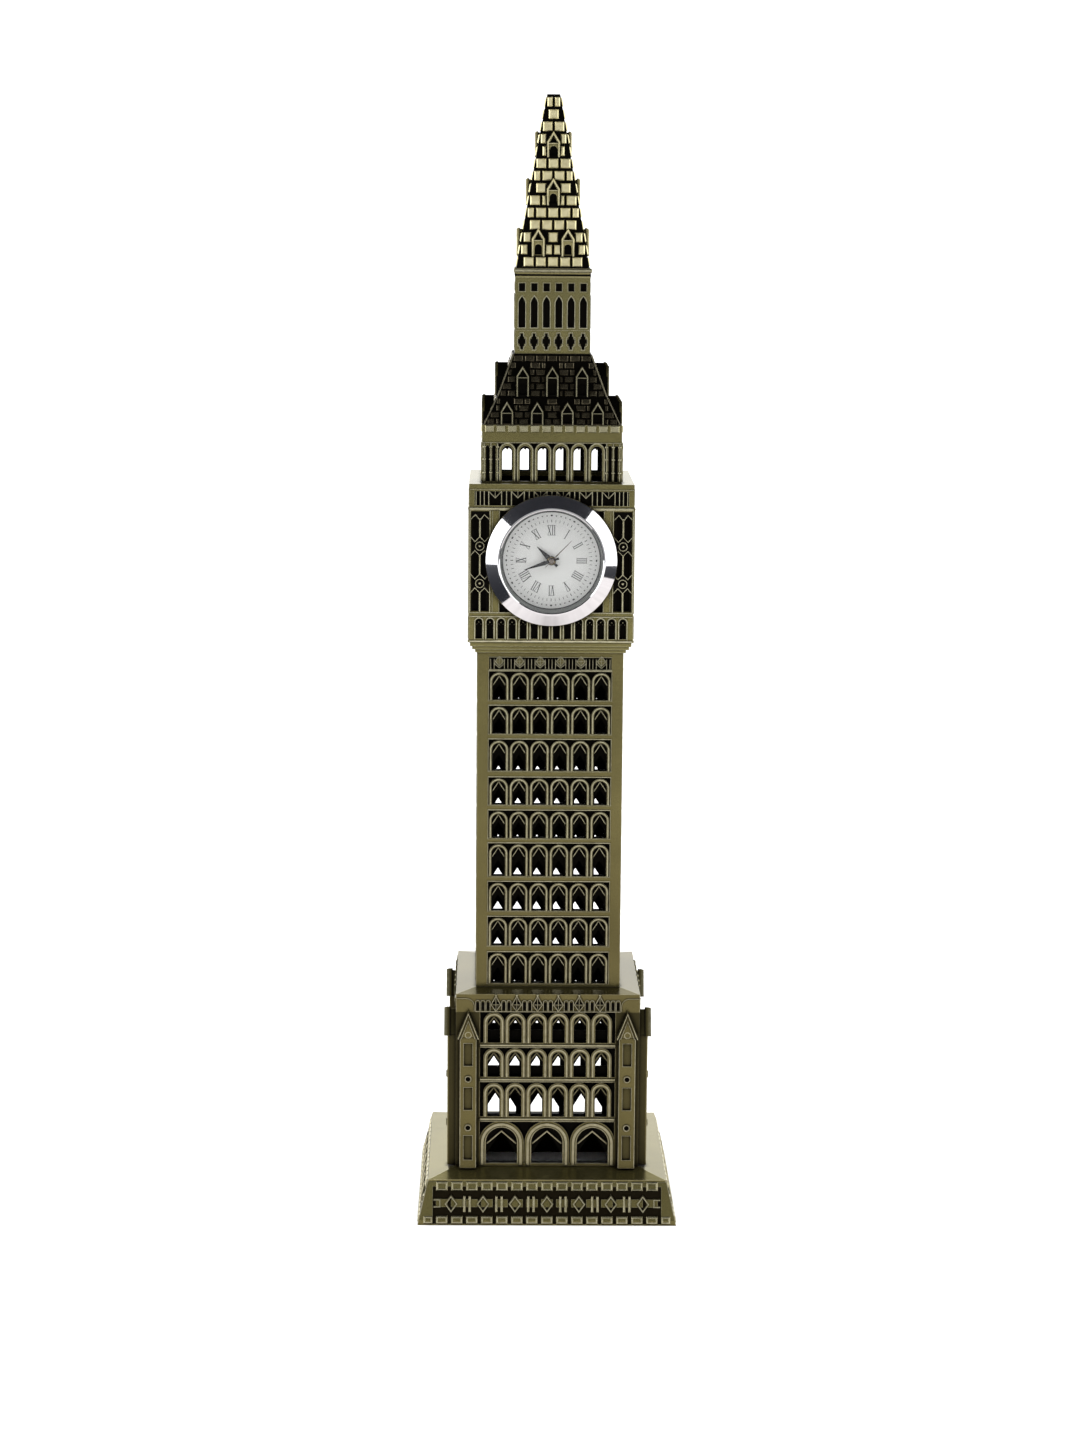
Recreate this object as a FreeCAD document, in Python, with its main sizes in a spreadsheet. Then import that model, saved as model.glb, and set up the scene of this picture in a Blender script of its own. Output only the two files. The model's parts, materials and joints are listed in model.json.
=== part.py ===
"""Miniature clock tower souvenir with a push-in quartz clock.

The tower is a hollow, open-bottomed shell of openwork cast panels. Every
storey has four panels that meet on 45 degree mitres, and the roof tiers, the
lantern and the spire are one casting each. The clock is a separate insert
that is pushed into a round hole in the front of the clock stage.

Frame: millimetres, +Z up, front face towards -Y, origin on the table in the
middle of the base.
"""
import FreeCAD
import Part
import Sketcher
import math
import os

DIMENSIONS = {
    # plinth
    "plinth_half_low": 26.7, "plinth_half_high": 24.7, "plinth_edge": 9.1,
    "plinth_wall": 2.2, "plinth_ledge_half": 24.55, "plinth_top": 10.4,
    "brick_pitch": 3.1, "brick_gap": 0.7, "brick_relief": 0.45,
    # lower storey
    "lower_half": 19.0, "lower_wall": 2.0, "lower_edge": 47.1, "lower_top": 47.7,
    "lower_bay_pitch": 4.45, "lower_arch_width": 4.25, "lower_arch_band": 0.8,
    "lower_slot_width": 2.5, "lower_field_half": 14.0, "lower_relief": 1.1,
    # an opening starts a lip above its row, and some arches run under the rail above
    "sill_lip": 0.05, "arch_tuck": 0.12,
    "portal_pitch": 9.45, "portal_width": 9.2, "portal_band": 1.35, "frieze_relief": 0.5,
    "pier_low": 14.7, "pier_high": 18.15, "pier_proud": 1.7, "pier_eaves": 38.9,
    "pier_peak": 43.4, "gable_proud": 2.0,
    # shaft
    "shaft_half": 14.92, "shaft_wall": 1.8, "shaft_top": 117.8,
    "shaft_bay_pitch": 4.17, "shaft_arch_width": 3.85, "shaft_arch_band": 0.5,
    "shaft_slot_width": 2.3, "shaft_opening": 3.1, "window_web": 0.3,
    "shaft_field_half": 12.5, "shaft_relief": 0.9,
    # clock stage
    "stage_half": 16.72, "stage_wall": 1.8, "stage_sill": 120.0, "stage_top": 152.3,
    "stage_relief": 0.7, "clock_height": 136.85, "clock_hole_radius": 12.2,
    # belfry
    "belfry_half": 14.15, "belfry_wall": 1.6, "belfry_top": 164.0,
    "belfry_bay_pitch": 3.62, "belfry_arch_width": 3.45, "belfry_arch_band": 0.6,
    "belfry_relief": 0.7,
    # roof tiers
    "roof_wall": 1.4, "roof_low_half": 13.75, "roof_step_half": 11.2,
    "roof_step": 169.5, "roof_upper_half": 11.05, "roof_upper_top_half": 7.95,
    "roof_top": 178.0, "dormer_width": 2.7, "dormer_opening": 1.5,
    "lower_dormer_face": 14.0, "upper_dormer_face": 11.35, "dormer_depth": 3.4,
    "dormer_recess": 0.7,
    # lantern and spire
    "lantern_half": 7.65, "lantern_wall": 1.2, "lantern_top": 193.4,
    "lantern_bay_pitch": 2.49, "lantern_bay_width": 1.35, "lantern_relief": 0.45,
    "spire_foot_half": 7.7, "spire_foot_top": 195.2, "spire_half_low": 7.4,
    "spire_half_high": 1.32, "spire_wall": 1.3, "spire_hollow_half": 2.2,
    "spire_hollow_top": 214.0, "spire_dormer_low": 7.07, "spire_dormer_mid": 5.25,
    "spire_dormer_high": 3.45, "overall_height": 230.0,
    # clock insert, depths measured from the plane the bezel rests on
    "bezel_radius": 13.35, "bezel_lip_radius": 10.42, "bezel_proud": 3.1,
    "crystal_radius": 10.8, "crystal_thick": 0.8, "gasket_radius": 11.1,
    "dial_radius": 11.0, "dial_thick": 0.4, "barrel_radius": 12.1,
    "barrel_bore": 11.3, "barrel_step": 2.2, "pocket_radius": 9.4,
    "pocket_bore": 8.8, "pocket_end": 6.0, "grip_radius": 12.17,
    "plate_radius": 8.7, "plate_front": 1.5, "plate_thick": 0.8,
    "bridge_front": 4.3, "bridge_thick": 0.4, "case_back_thick": 0.5,
    "hour_pipe_radius": 0.75, "minute_pipe_radius": 0.45, "arbor_radius": 0.15,
    "running_clearance": 0.05, "hand_thick": 0.15, "hour_hand_length": 4.1,
    "minute_hand_length": 5.8, "second_hand_length": 5.8,
    "motion_module": 0.12, "wheel_thick": 0.15, "battery_radius": 2.9,
    "battery_thick": 2.0, "stem_depth": 3.5, "stem_radius": 0.45,
    "crown_radius": 1.1, "crown_length": 1.2, "hour_angle": 314.0,
    "minute_angle": 251.4, "second_angle": 44.3,
}

VECTOR = FreeCAD.Vector
UP = VECTOR(0, 0, 1)
# bottom and top of each row of windows: nine in the shaft, three in the lower storey
SHAFT_ROWS = [(48.4, 55.0), (56.4, 62.5), (63.8, 69.9), (71.1, 78.0), (79.1, 84.9),
              (86.1, 91.8), (93.2, 99.7), (100.9, 106.7), (107.9, 113.8)]
LOWER_ROWS = [(20.95, 28.35), (29.45, 35.8), (36.75, 43.4)]
# how high above the foot of its row a window of the lower storey starts to be open
LOWER_SILLS = [0.1, 2.0, 2.3]
PORTAL_ROW = (10.9, 19.85)
# face, places across it, foot and peak of each rank of dormers on the spire
SPIRE_DORMERS = [("spire_dormer_low", (-3.0, 3.0), 197.6, 203.0),
                 ("spire_dormer_mid", (0.0,), 207.8, 213.0),
                 ("spire_dormer_high", (0.0,), 217.4, 222.4)]
SIDES = [("front", 0), ("right", 90), ("back", 180), ("left", 270)]

doc = FreeCAD.newDocument("clock_tower")
sheet = doc.addObject("Spreadsheet::Sheet", "Dims")
for row, (alias, value) in enumerate(DIMENSIONS.items(), start=1):
    sheet.set("A%d" % row, alias)
    sheet.set("B%d" % row, str(value))
    sheet.setAlias("B%d" % row, alias)
doc.recompute()
D = {alias: float(sheet.get(alias)) for alias in DIMENSIONS}

exported = []


def expression(text):
    """Turn aliases in a formula into references to the dimension sheet."""
    words = text.replace("(", " ( ").replace(")", " ) ").split()
    return " ".join("Dims." + w if w in DIMENSIONS else w for w in words)


def bind(obj, **formulas):
    for prop, formula in formulas.items():
        obj.setExpression(prop.replace("__", "."), expression(formula))
    return obj


def wedge(x_front, x_back, y_front, y_back, z_front, z_back):
    """Block with a front and a back rectangle; each pair is (low, high)."""
    obj = doc.addObject("Part::Wedge", "Block")
    return bind(obj, Xmin=x_front[0], Xmax=x_front[1], X2min=x_back[0], X2max=x_back[1],
                Ymin=y_front, Ymax=y_back, Zmin=z_front[0], Zmax=z_front[1],
                Z2min=z_back[0], Z2max=z_back[1])


def mitred(half, depth, z_low, z_high, z_high_back=None):
    """Wall across one face of the tower, mitred at both corners."""
    inner = "%s - ( %s )" % (half, depth)
    return wedge(("0 - ( %s )" % half, half), ("0 - ( %s )" % inner, inner),
                 "0 - ( %s )" % half, "0 - ( %s )" % inner,
                 (z_low, z_high), (z_low, z_high_back or z_high))


def frustum(half_low, half_high, z_low, z_high):
    """Square frustum standing on the tower's axis."""
    obj = wedge(("0 - ( %s )" % half_low, half_low), ("0 - ( %s )" % half_high, half_high),
                z_low, z_high, ("0 - ( %s )" % half_low, half_low),
                ("0 - ( %s )" % half_high, half_high))
    obj.Placement = FreeCAD.Placement(VECTOR(), FreeCAD.Rotation(VECTOR(1, 0, 0), 90))
    return obj


def front_quarter():
    """Everything between the two diagonals on the front side of the axis."""
    return wedge(("0 - 40", "40"), ("0", "0"), "0 - 40", "0", ("0 - 1", "240"), ("0 - 1", "240"))


def box(x_low, x_high, y_low, y_high, z_low, z_high):
    return wedge((x_low, x_high), (x_low, x_high), y_low, y_high,
                 (z_low, z_high), (z_low, z_high))


def fuse(shapes):
    obj = doc.addObject("Part::MultiFuse", "Union")
    obj.Shapes = shapes
    return obj


def cut(base, tool):
    obj = doc.addObject("Part::Cut", "Difference")
    obj.Base = base
    obj.Tool = tool
    return obj


def common(base, tool):
    obj = doc.addObject("Part::Common", "Overlap")
    obj.Base = base
    obj.Tool = tool
    return obj


def cylinder(radius, low, length, x=0.0, y=0.0):
    obj = doc.addObject("Part::Cylinder", "Round")
    bind(obj, Radius=radius, Height=length, Placement__Base__z=low)
    obj.Placement.Base = VECTOR(x, y, obj.Placement.Base.z)
    return obj


def ring(outer, inner, low, length):
    return cut(cylinder(outer, low, length),
               cylinder(inner, "%s - 1" % low, "%s + 2" % length))


def extrusion(faces, direction, length):
    """Extrude flat faces by a length taken from the sheet."""
    flat = doc.addObject("Part::Feature", "Outline")
    flat.Shape = Part.Compound(faces) if len(faces) > 1 else faces[0]
    obj = doc.addObject("Part::Extrusion", "Extrusion")
    obj.Base = flat
    obj.DirMode = "Custom"
    obj.Dir = direction
    obj.Solid = True
    return bind(obj, LengthFwd=length)


def relief_tool(outlines, half, depth):
    """Cutter that sinks wires or faces, drawn in X and Z, into a front face."""
    y = -D[half] - 1.0
    faces = [o if o.ShapeType == "Face" else Part.Face(o) for o in outlines]
    return extrusion([f.translated(VECTOR(0, y, 0)) for f in faces], VECTOR(0, 1, 0),
                     "%s + 1" % depth)


def field(half_width, z_low, z_high, standing):
    """Sunk rectangle, as faces, around the bands that are left standing in it."""
    tall = (z_high - z_low) / 2.0
    sunk = Part.Face(square(0, z_low + tall, half_width, tall))
    return sunk.cut(Part.Compound(standing)).Faces


def arch_band(x, z_low, z_high, width, band):
    """Round arch of constant breadth, down to its two feet."""
    outer = Part.Face(round_arch(x, z_low, z_high, width))
    return outer.cut(Part.Face(round_arch(x, z_low - 0.1, z_high - band, width - 2 * band)))


def polygon(points):
    """Closed outline in the XZ plane."""
    corners = [VECTOR(x, 0, z) for x, z in points]
    return Part.makePolygon(corners + corners[:1])


def round_arch(x, z_low, z_high, width):
    r = width / 2.0
    spring = z_high - r
    left, right = VECTOR(x - r, 0, spring), VECTOR(x + r, 0, spring)
    foot_left, foot_right = VECTOR(x - r, 0, z_low), VECTOR(x + r, 0, z_low)
    arc = Part.Arc(right, VECTOR(x, 0, z_high), left).toShape()
    return Part.Wire([Part.makeLine(foot_left, foot_right), Part.makeLine(foot_right, right),
                      arc, Part.makeLine(left, foot_left)])


def lancet(x, z_low, z_high, width):
    r = width / 2.0
    return polygon([(x - r, z_low), (x + r, z_low), (x + r, z_high - 0.8 * width),
                    (x, z_high), (x - r, z_high - 0.8 * width)])


def square(x, z, half_width, half_height=None):
    tall = half_height or half_width
    return polygon([(x - half_width, z - tall), (x + half_width, z - tall),
                    (x + half_width, z + tall), (x - half_width, z + tall)])


def diamond(x, z, half_width, half_height):
    return polygon([(x, z - half_height), (x + half_width, z), (x, z + half_height),
                    (x - half_width, z)])


def cross(x, z, half_width, half_height, arm):
    return polygon([(x - arm, z - half_height), (x + arm, z - half_height), (x + arm, z - arm),
                    (x + half_width, z - arm), (x + half_width, z + arm), (x + arm, z + arm),
                    (x + arm, z + half_height), (x - arm, z + half_height), (x - arm, z + arm),
                    (x - half_width, z + arm), (x - half_width, z - arm), (x - arm, z - arm)])


def spaced(count, pitch):
    return [(i - (count - 1) / 2.0) * pitch for i in range(count)]


def node(obj, name):
    """Name a finished piece, check it and write its STEP file."""
    obj.Label = name
    doc.recompute()
    if obj.Shape.isNull() or not obj.Shape.isValid() or not obj.Shape.Solids:
        raise RuntimeError("%s did not build: %s" % (name, obj.State))
    exported.append(obj)
    return obj


def four_panels(front, storey):
    """Name the front panel and turn three copies of it about the axis."""
    node(front, storey + "_front")
    for side, angle in SIDES[1:]:
        turned_panel(front, storey, side, angle)


def turned_panel(source, storey, side, angle):
    copy = doc.addObject("Part::Compound", "Turned")
    copy.Links = [source]
    copy.Placement = FreeCAD.Placement(VECTOR(), FreeCAD.Rotation(UP, angle))
    node(copy, "%s_%s" % (storey, side))


# ---------------------------------------------------------------- tower
def build_plinth():
    outer = frustum("plinth_half_low", "plinth_half_high", "0", "plinth_edge - 0.4")
    inner = frustum("plinth_half_low - plinth_wall", "plinth_half_high - plinth_wall",
                    "0 - 1", "plinth_edge")
    wall = common(cut(outer, inner), front_quarter())
    ledge = mitred("plinth_ledge_half", "7.6", "plinth_edge - 1.4", "plinth_edge",
                   "plinth_top + 0.4")
    seat = cut(ledge, box("0 - 30", "30", "0 - lower_half", "0", "plinth_top", "20"))
    y_face = D["plinth_half_low"] + 1.0
    courses = [(0.35, 1.75), (3.65, 5.2), (7.0, 7.65)]
    grooves = []
    for low, high in courses:
        for x in spaced(16, D["brick_pitch"]):
            grooves.append(square(x, (low + high) / 2, D["brick_gap"] / 2, (high - low) / 2 + 0.1))
    for low, high in ((1.75, 3.65), (5.2, 7.0)):
        grooves.append(square(0, (low + high) / 2, 23.6, (high - low) / 2))
    faces = [Part.Face(g.translated(VECTOR(0, -y_face, 0))) for g in grooves]
    tool = extrusion(faces, VECTOR(0, 1, 0),
                     "plinth_half_low - plinth_half_high + brick_relief + 0.6")
    lean = frustum("plinth_half_low - brick_relief", "plinth_half_high - brick_relief",
                   "0", "plinth_edge - 0.4")
    carved = cut(wall, cut(tool, lean))
    return fuse([carved, seat])


def build_lower_storey():
    wall = mitred("lower_half", "lower_wall", "plinth_top", "lower_edge")
    ledge = mitred("lower_half", "4.08", "lower_edge - 1.6", "lower_edge", "lower_top")
    seat = mitred("lower_half - 4.08", "2.2", "lower_edge - 1.6", "lower_top")
    pieces = [wall, ledge, seat]
    for sign in (-1, 1):
        low, high = sorted((sign * D["pier_low"], sign * D["pier_high"]))
        pieces.append(box(str(low).replace("-", "0 - "), str(high).replace("-", "0 - "),
                          "0 - lower_half - pier_proud", "0 - lower_half + 0.5",
                          "plinth_top", "pier_eaves"))
        middle = (low + high) / 2
        gable = polygon([(middle - 2.05, D["pier_eaves"] - 0.4), (middle + 2.05, D["pier_eaves"] - 0.4),
                         (middle, D["pier_peak"])])
        face = Part.Face(gable.translated(VECTOR(0, -D["lower_half"] - D["gable_proud"], 0)))
        pieces.append(extrusion([face], VECTOR(0, 1, 0), "gable_proud + 0.5"))
    solid = fuse(pieces)
    openings, blind, recesses, frieze = [], [], [], []
    for (low, high), rise in zip(LOWER_ROWS, LOWER_SILLS):
        bands = []
        for x in spaced(6, D["lower_bay_pitch"]):
            bands.append(arch_band(x, low, high - 0.2, D["lower_arch_width"], D["lower_arch_band"]))
            blind.append(lancet(x, low + D["sill_lip"], high - 2.1, D["lower_slot_width"]))
            openings.append(lancet(x, low + rise, high - 2.3, D["lower_slot_width"] - 0.2))
        recesses += field(D["lower_field_half"], low, high, bands)
    low, high = PORTAL_ROW
    bands = []
    for x in spaced(3, D["portal_pitch"]):
        bands.append(arch_band(x, low, high + D["arch_tuck"], D["portal_width"],
                               D["portal_band"]))
        openings.append(lancet(x, low + D["sill_lip"], high - 2.2,
                               D["portal_width"] - 2 * D["portal_band"]))
    recesses += field(D["lower_field_half"], low, high, bands)
    for x in spaced(6, 4.3):
        frieze.append(cross(x, 45.2, 0.9, 1.2, 0.3))
    solid = cut(solid, relief_tool(openings, "lower_half", "lower_wall + 3"))
    solid = cut(solid, relief_tool(blind, "lower_half", "lower_wall - window_web"))
    solid = cut(solid, relief_tool(recesses, "lower_half", "lower_relief"))
    solid = cut(solid, relief_tool(frieze, "lower_half", "frieze_relief"))
    panels = []
    for sign in (-1, 1):
        x = sign * (D["pier_low"] + D["pier_high"]) / 2
        for low, high in ((12.2, 17.3), (22.9, 27.6), (32.3, 37.0)):
            panels.append(square(x, (low + high) / 2, 0.85, (high - low) / 2))
    y = -D["lower_half"] - D["pier_proud"] - 1.0
    faces = [Part.Face(p.translated(VECTOR(0, y, 0))) for p in panels]
    return cut(solid, extrusion(faces, VECTOR(0, 1, 0), "frieze_relief + 1"))


def build_shaft():
    wall = mitred("shaft_half", "shaft_wall", "lower_top", "shaft_top")
    recesses, openings, blind = [], [], []
    for low, high in SHAFT_ROWS:
        bands = []
        for x in spaced(6, D["shaft_bay_pitch"]):
            bands.append(arch_band(x, low, high - 0.2, D["shaft_arch_width"], D["shaft_arch_band"]))
            blind.append(lancet(x, low + D["sill_lip"], high - 1.1, D["shaft_slot_width"]))
            openings.append(lancet(x, low + 2 * D["sill_lip"], low + D["shaft_opening"],
                                   D["shaft_slot_width"] - 0.2))
        recesses += field(D["shaft_field_half"], low, high, bands)
    diamonds = [Part.Face(diamond(x, 115.8, 0.95, 1.0)) for x in spaced(6, D["shaft_bay_pitch"])]
    recesses += field(D["shaft_field_half"], 114.3, 116.7, diamonds)
    # only the foot of each slot is open; a thin web closes the rest from behind
    solid = cut(wall, relief_tool(openings, "shaft_half", "shaft_wall + 1"))
    solid = cut(solid, relief_tool(blind, "shaft_half", "shaft_wall - window_web"))
    return cut(solid, relief_tool(recesses, "shaft_half", "shaft_relief"))


def build_clock_stage(with_hole):
    wall = mitred("stage_half", "stage_wall", "stage_sill", "stage_top")
    pieces = [wall, mitred("stage_half", "4.2", "stage_top - 1.3", "stage_top")]
    for half, low, high in (("15.4", "shaft_top", "118.6"), ("16.0", "118.5", "119.3"),
                            ("16.45", "119.2", "stage_sill + 0.1")):
        pieces.append(mitred(half, "%s - 13.2" % half, low, high))
    solid = fuse(pieces)
    recesses = []
    for x in spaced(14, 2.25):
        recesses.append(round_arch(x, 120.8, 124.9, 1.35))
    recesses.append(square(0, 149.4, 15.6, 1.45))
    for sign in (-1, 1):
        for x in (13.75, 15.35):
            for low, high in ((126.6, 131.2), (132.6, 138.6), (140.0, 146.4)):
                recesses.append(lancet(sign * x, low, high, 0.95))
    if with_hole:
        recesses.append(square(0, 136.5, 10.5, 10.4))
    else:
        recesses.append(Part.Wire(Part.makeCircle(11.2, VECTOR(0, 0, D["clock_height"]),
                                                  VECTOR(0, 1, 0))))
    solid = cut(solid, relief_tool(recesses, "stage_half", "stage_relief"))
    if with_hole:
        hole = cylinder("clock_hole_radius", "0 - stage_half - 1", "stage_wall + 4")
        hole.Placement = FreeCAD.Placement(VECTOR(0, -D["stage_half"] - 1, D["clock_height"]),
                                           FreeCAD.Rotation(VECTOR(1, 0, 0), -90))
        hole.setExpression("Placement.Base.z", "Dims.clock_height")
        hole.setExpression("Placement.Base.y", "-Dims.stage_half - 1")
        return cut(solid, hole)
    return solid


def build_belfry():
    solid = mitred("belfry_half", "belfry_wall", "stage_top", "belfry_top")
    low, high = D["stage_top"] + 0.3, 160.3
    openings, bands = [], []
    for x in spaced(6, D["belfry_bay_pitch"]):
        bands.append(arch_band(x, low, high + D["arch_tuck"], D["belfry_arch_width"],
                               D["belfry_arch_band"]))
        openings.append(round_arch(x, low + D["sill_lip"], high - 1.0,
                                   D["belfry_arch_width"] - 1.4))
    recesses = field(3 * D["belfry_bay_pitch"] + 0.1, low, high, bands)
    for sign in (-1, 1):
        for x in (11.75, 13.0):
            recesses.append(Part.Face(round_arch(sign * x, low, high - 0.4, 0.75)))
    solid = cut(solid, relief_tool(openings, "belfry_half", "belfry_wall + 1"))
    return cut(solid, relief_tool(recesses, "belfry_half", "belfry_relief"))


def dormers(face, positions, low, peak, depth):
    """Gabled dormers on all four faces, and the blind openings in their fronts."""
    bodies, holes = [], []
    half = D["dormer_width"] / 2
    for x in positions:
        eaves = peak - 1.6 * half
        front = polygon([(x - half, low), (x + half, low), (x + half, eaves), (x, peak),
                         (x - half, eaves)])
        bodies.append(Part.Face(front.translated(VECTOR(0, -D[face], 0))))
        hole = round_arch(x, low + 0.35, low + 0.45 * (peak - low), D["dormer_opening"])
        holes.append(Part.Face(hole.translated(VECTOR(0, -D[face] - 1, 0))))
        sunk = polygon([(x - 0.6 * half, eaves), (x + 0.6 * half, eaves), (x, peak - 0.7)])
        holes.append(Part.Face(sunk.translated(VECTOR(0, -D[face] - 1, 0))))
    solids, cutters = [], []
    for turn in range(4):
        for faces, length, group in ((bodies, depth, solids),
                                     (holes, "1 + dormer_recess", cutters)):
            obj = extrusion(faces, VECTOR(0, 1, 0), length)
            turned = doc.addObject("Part::Compound", "Turned")
            turned.Links = [obj]
            turned.Placement = FreeCAD.Placement(VECTOR(), FreeCAD.Rotation(UP, 90 * turn))
            group.append(turned)
    return solids, cutters


def build_roof_tier(half_low, half_high, low, high, face, positions, peak):
    outer = frustum(half_low, half_high, low, high)
    inner = frustum("%s - roof_wall" % half_low, "%s - roof_wall" % half_high, low, high)
    solids, cutters = dormers(face, positions, D[low], peak, "dormer_depth")
    shell = cut(fuse([outer] + solids), inner)
    return cut(shell, fuse(cutters))


def build_lantern():
    outer = frustum("lantern_half", "lantern_half", "roof_top", "lantern_top")
    inner = frustum("lantern_half - lantern_wall", "lantern_half - lantern_wall",
                    "roof_top - 1", "lantern_top + 1")
    solid = cut(outer, inner)
    faces = []
    y = -D["lantern_half"] - 1.0
    for x in spaced(6, D["lantern_bay_pitch"]):
        for outline in (square(x, 191.4, 0.62, 0.8), lancet(x, 183.2, 189.6, D["lantern_bay_width"]),
                        cross(x, 180.5, 0.95, 1.6, 0.5)):
            faces.append(Part.Face(outline.translated(VECTOR(0, y, 0))))
    tools = []
    for turn in range(4):
        turned = doc.addObject("Part::Compound", "Turned")
        turned.Links = [extrusion(faces, VECTOR(0, 1, 0), "lantern_relief + 1")]
        turned.Placement = FreeCAD.Placement(VECTOR(), FreeCAD.Rotation(UP, 90 * turn))
        tools.append(turned)
    return cut(solid, fuse(tools))


def build_spire():
    foot = frustum("spire_foot_half", "spire_foot_half", "lantern_top", "spire_foot_top")
    body = frustum("spire_half_low", "spire_half_high", "spire_foot_top", "overall_height")
    solids, cutters = [foot, body], []
    for face, positions, low, peak in SPIRE_DORMERS:
        more, holes = dormers(face, positions, low, peak, face + " * 0.7")
        solids += more
        cutters += holes
    hollow = frustum("spire_foot_half - spire_wall", "spire_hollow_half", "lantern_top - 0.1",
                     "spire_hollow_top")
    return cut(cut(fuse(solids), fuse(cutters)), hollow)


four_panels(build_plinth(), "plinth")
four_panels(build_lower_storey(), "lower_storey")
four_panels(build_shaft(), "shaft")
node(build_clock_stage(True), "clock_stage_front")
plain_stage = build_clock_stage(False)
for side_name, side_angle in SIDES[1:]:
    turned_panel(plain_stage, "clock_stage", side_name, side_angle)
four_panels(build_belfry(), "belfry")
lower_tier = build_roof_tier("roof_low_half", "roof_step_half", "belfry_top", "roof_step",
                             "lower_dormer_face", spaced(4, 6.1), 168.6)
four_panels(common(lower_tier, front_quarter()), "lower_roof")
node(build_roof_tier("roof_upper_half", "roof_upper_top_half", "roof_step", "roof_top",
                     "upper_dormer_face", spaced(3, 6.0), 175.6), "upper_roof")
node(build_lantern(), "lantern")
node(build_spire(), "spire")


# ---------------------------------------------------------------- clock insert
# The insert is drawn about its own axis: local +Z runs backwards into the
# tower from the plane the bezel rests on, local X is the tower's +X and
# local -Y points to 12 o'clock.
INSERT = FreeCAD.Placement(VECTOR(0, -D["stage_half"], D["clock_height"]),
                           FreeCAD.Rotation(VECTOR(1, 0, 0), -90))
# sketches are drawn this far up so that every dimension is positive
DATUM = 5.0


def insert_node(obj, name):
    """Turn a piece of the insert into the tower's frame and name it."""
    placed = doc.addObject("Part::Compound", "Placed")
    placed.Links = [obj]
    placed.Placement = INSERT
    placed.setExpression("Placement.Base.y", "-Dims.stage_half")
    placed.setExpression("Placement.Base.z", "Dims.clock_height")
    return node(placed, name)


def evaluate(formula):
    """Value of a formula of sheet aliases and numbers, joined by + and -."""
    total, sign = 0.0, 1.0
    for word in formula.split():
        if word in "+-":
            sign = 1.0 if word == "+" else -1.0
        else:
            total += sign * (D[word] if word in D else float(word))
            sign = 1.0
    return total


def origin_plane(body, role):
    return next(f for f in body.Origin.OriginFeatures if getattr(f, "Role", "") == role)


def turned(profile):
    """Revolved body from (radius, depth) formulas, given in order round it."""
    body = doc.addObject("PartDesign::Body", "Turned")
    sketch = body.newObject("Sketcher::SketchObject", "Profile")
    sketch.AttachmentSupport = [(origin_plane(body, "XZ_Plane"), "")]
    sketch.MapMode = "FlatFace"
    formulas = [(radius, "%s + %s" % (depth, DATUM)) for radius, depth in profile]
    corners = [VECTOR(evaluate(radius), evaluate(depth), 0) for radius, depth in formulas]
    count = len(corners)
    for i in range(count):
        sketch.addGeometry(Part.LineSegment(corners[i], corners[(i + 1) % count]), False)
    for i in range(count):
        sketch.addConstraint(Sketcher.Constraint("Coincident", (i - 1) % count, 2, i, 1))
    for i, (radius, depth) in enumerate(formulas):
        for kind, formula, value in (("DistanceX", radius, corners[i].x),
                                     ("DistanceY", depth, corners[i].y)):
            index = sketch.addConstraint(Sketcher.Constraint(kind, -1, 1, i, 1, value))
            sketch.setExpression("Constraints[%d]" % index, expression(formula))
    revolve = body.newObject("PartDesign::Revolution", "Revolve")
    revolve.Profile = sketch
    revolve.ReferenceAxis = (sketch, ["V_Axis"])
    revolve.Angle = 360
    body.Tip = revolve
    shifted = doc.addObject("Part::Compound", "Shifted")
    shifted.Links = [body]
    shifted.Placement = FreeCAD.Placement(VECTOR(0, 0, -DATUM), FreeCAD.Rotation())
    return shifted


def moved(obj, low, turn=0.0):
    """Set a piece at a depth formula, turned about the insert's axis."""
    carrier = doc.addObject("Part::Compound", "Moved")
    carrier.Links = [obj]
    carrier.Placement = FreeCAD.Placement(VECTOR(), FreeCAD.Rotation(UP, turn))
    return bind(carrier, Placement__Base__z=low)


def plate(points, low, thick, turn=0.0):
    """Extruded outline parallel to the dial."""
    corners = [VECTOR(x, y, 0) for x, y in points]
    face = Part.Face(Part.makePolygon(corners + corners[:1]))
    return moved(extrusion([face], UP, thick), low, turn)


def block(x_low, x_high, y_low, y_high, low, thick):
    points = [(x_low, y_low), (x_high, y_low), (x_high, y_high), (x_low, y_high)]
    return plate(points, low, thick)


def polar(radius, angle, centre=(0.0, 0.0)):
    a = math.radians(angle)
    return (centre[0] + radius * math.cos(a), centre[1] + radius * math.sin(a))


def gear(teeth, module, tooth_at, centre, low, thick):
    """Straight-flanked teeth; tooth_at is the angle of one tooth's middle."""
    pitch_radius = teeth * module / 2.0
    root, tip = pitch_radius - 1.15 * module, pitch_radius + 0.85 * module
    step = 360.0 / teeth
    points = []
    for i in range(teeth):
        for offset, radius in ((-0.30, root), (-0.10, tip), (0.10, tip), (0.30, root)):
            points.append(polar(radius, tooth_at + (i + offset) * step, centre))
    return plate(points, low, thick)


def facing(centre, other):
    """Angle from one centre to another."""
    return math.degrees(math.atan2(other[1] - centre[1], other[0] - centre[0]))


def mesh(wheel, pinion):
    """Gear pair in mesh: a wheel tooth stands in a pinion gap."""
    toward = facing(wheel["centre"], pinion["centre"])
    first = gear(wheel["teeth"], wheel["module"], toward, wheel["centre"], wheel["low"],
                 "wheel_thick")
    second = gear(pinion["teeth"], wheel["module"], toward + 180 + 180.0 / pinion["teeth"],
                  pinion["centre"], pinion["low"], "wheel_thick + 0.1")
    return first, second


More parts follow.
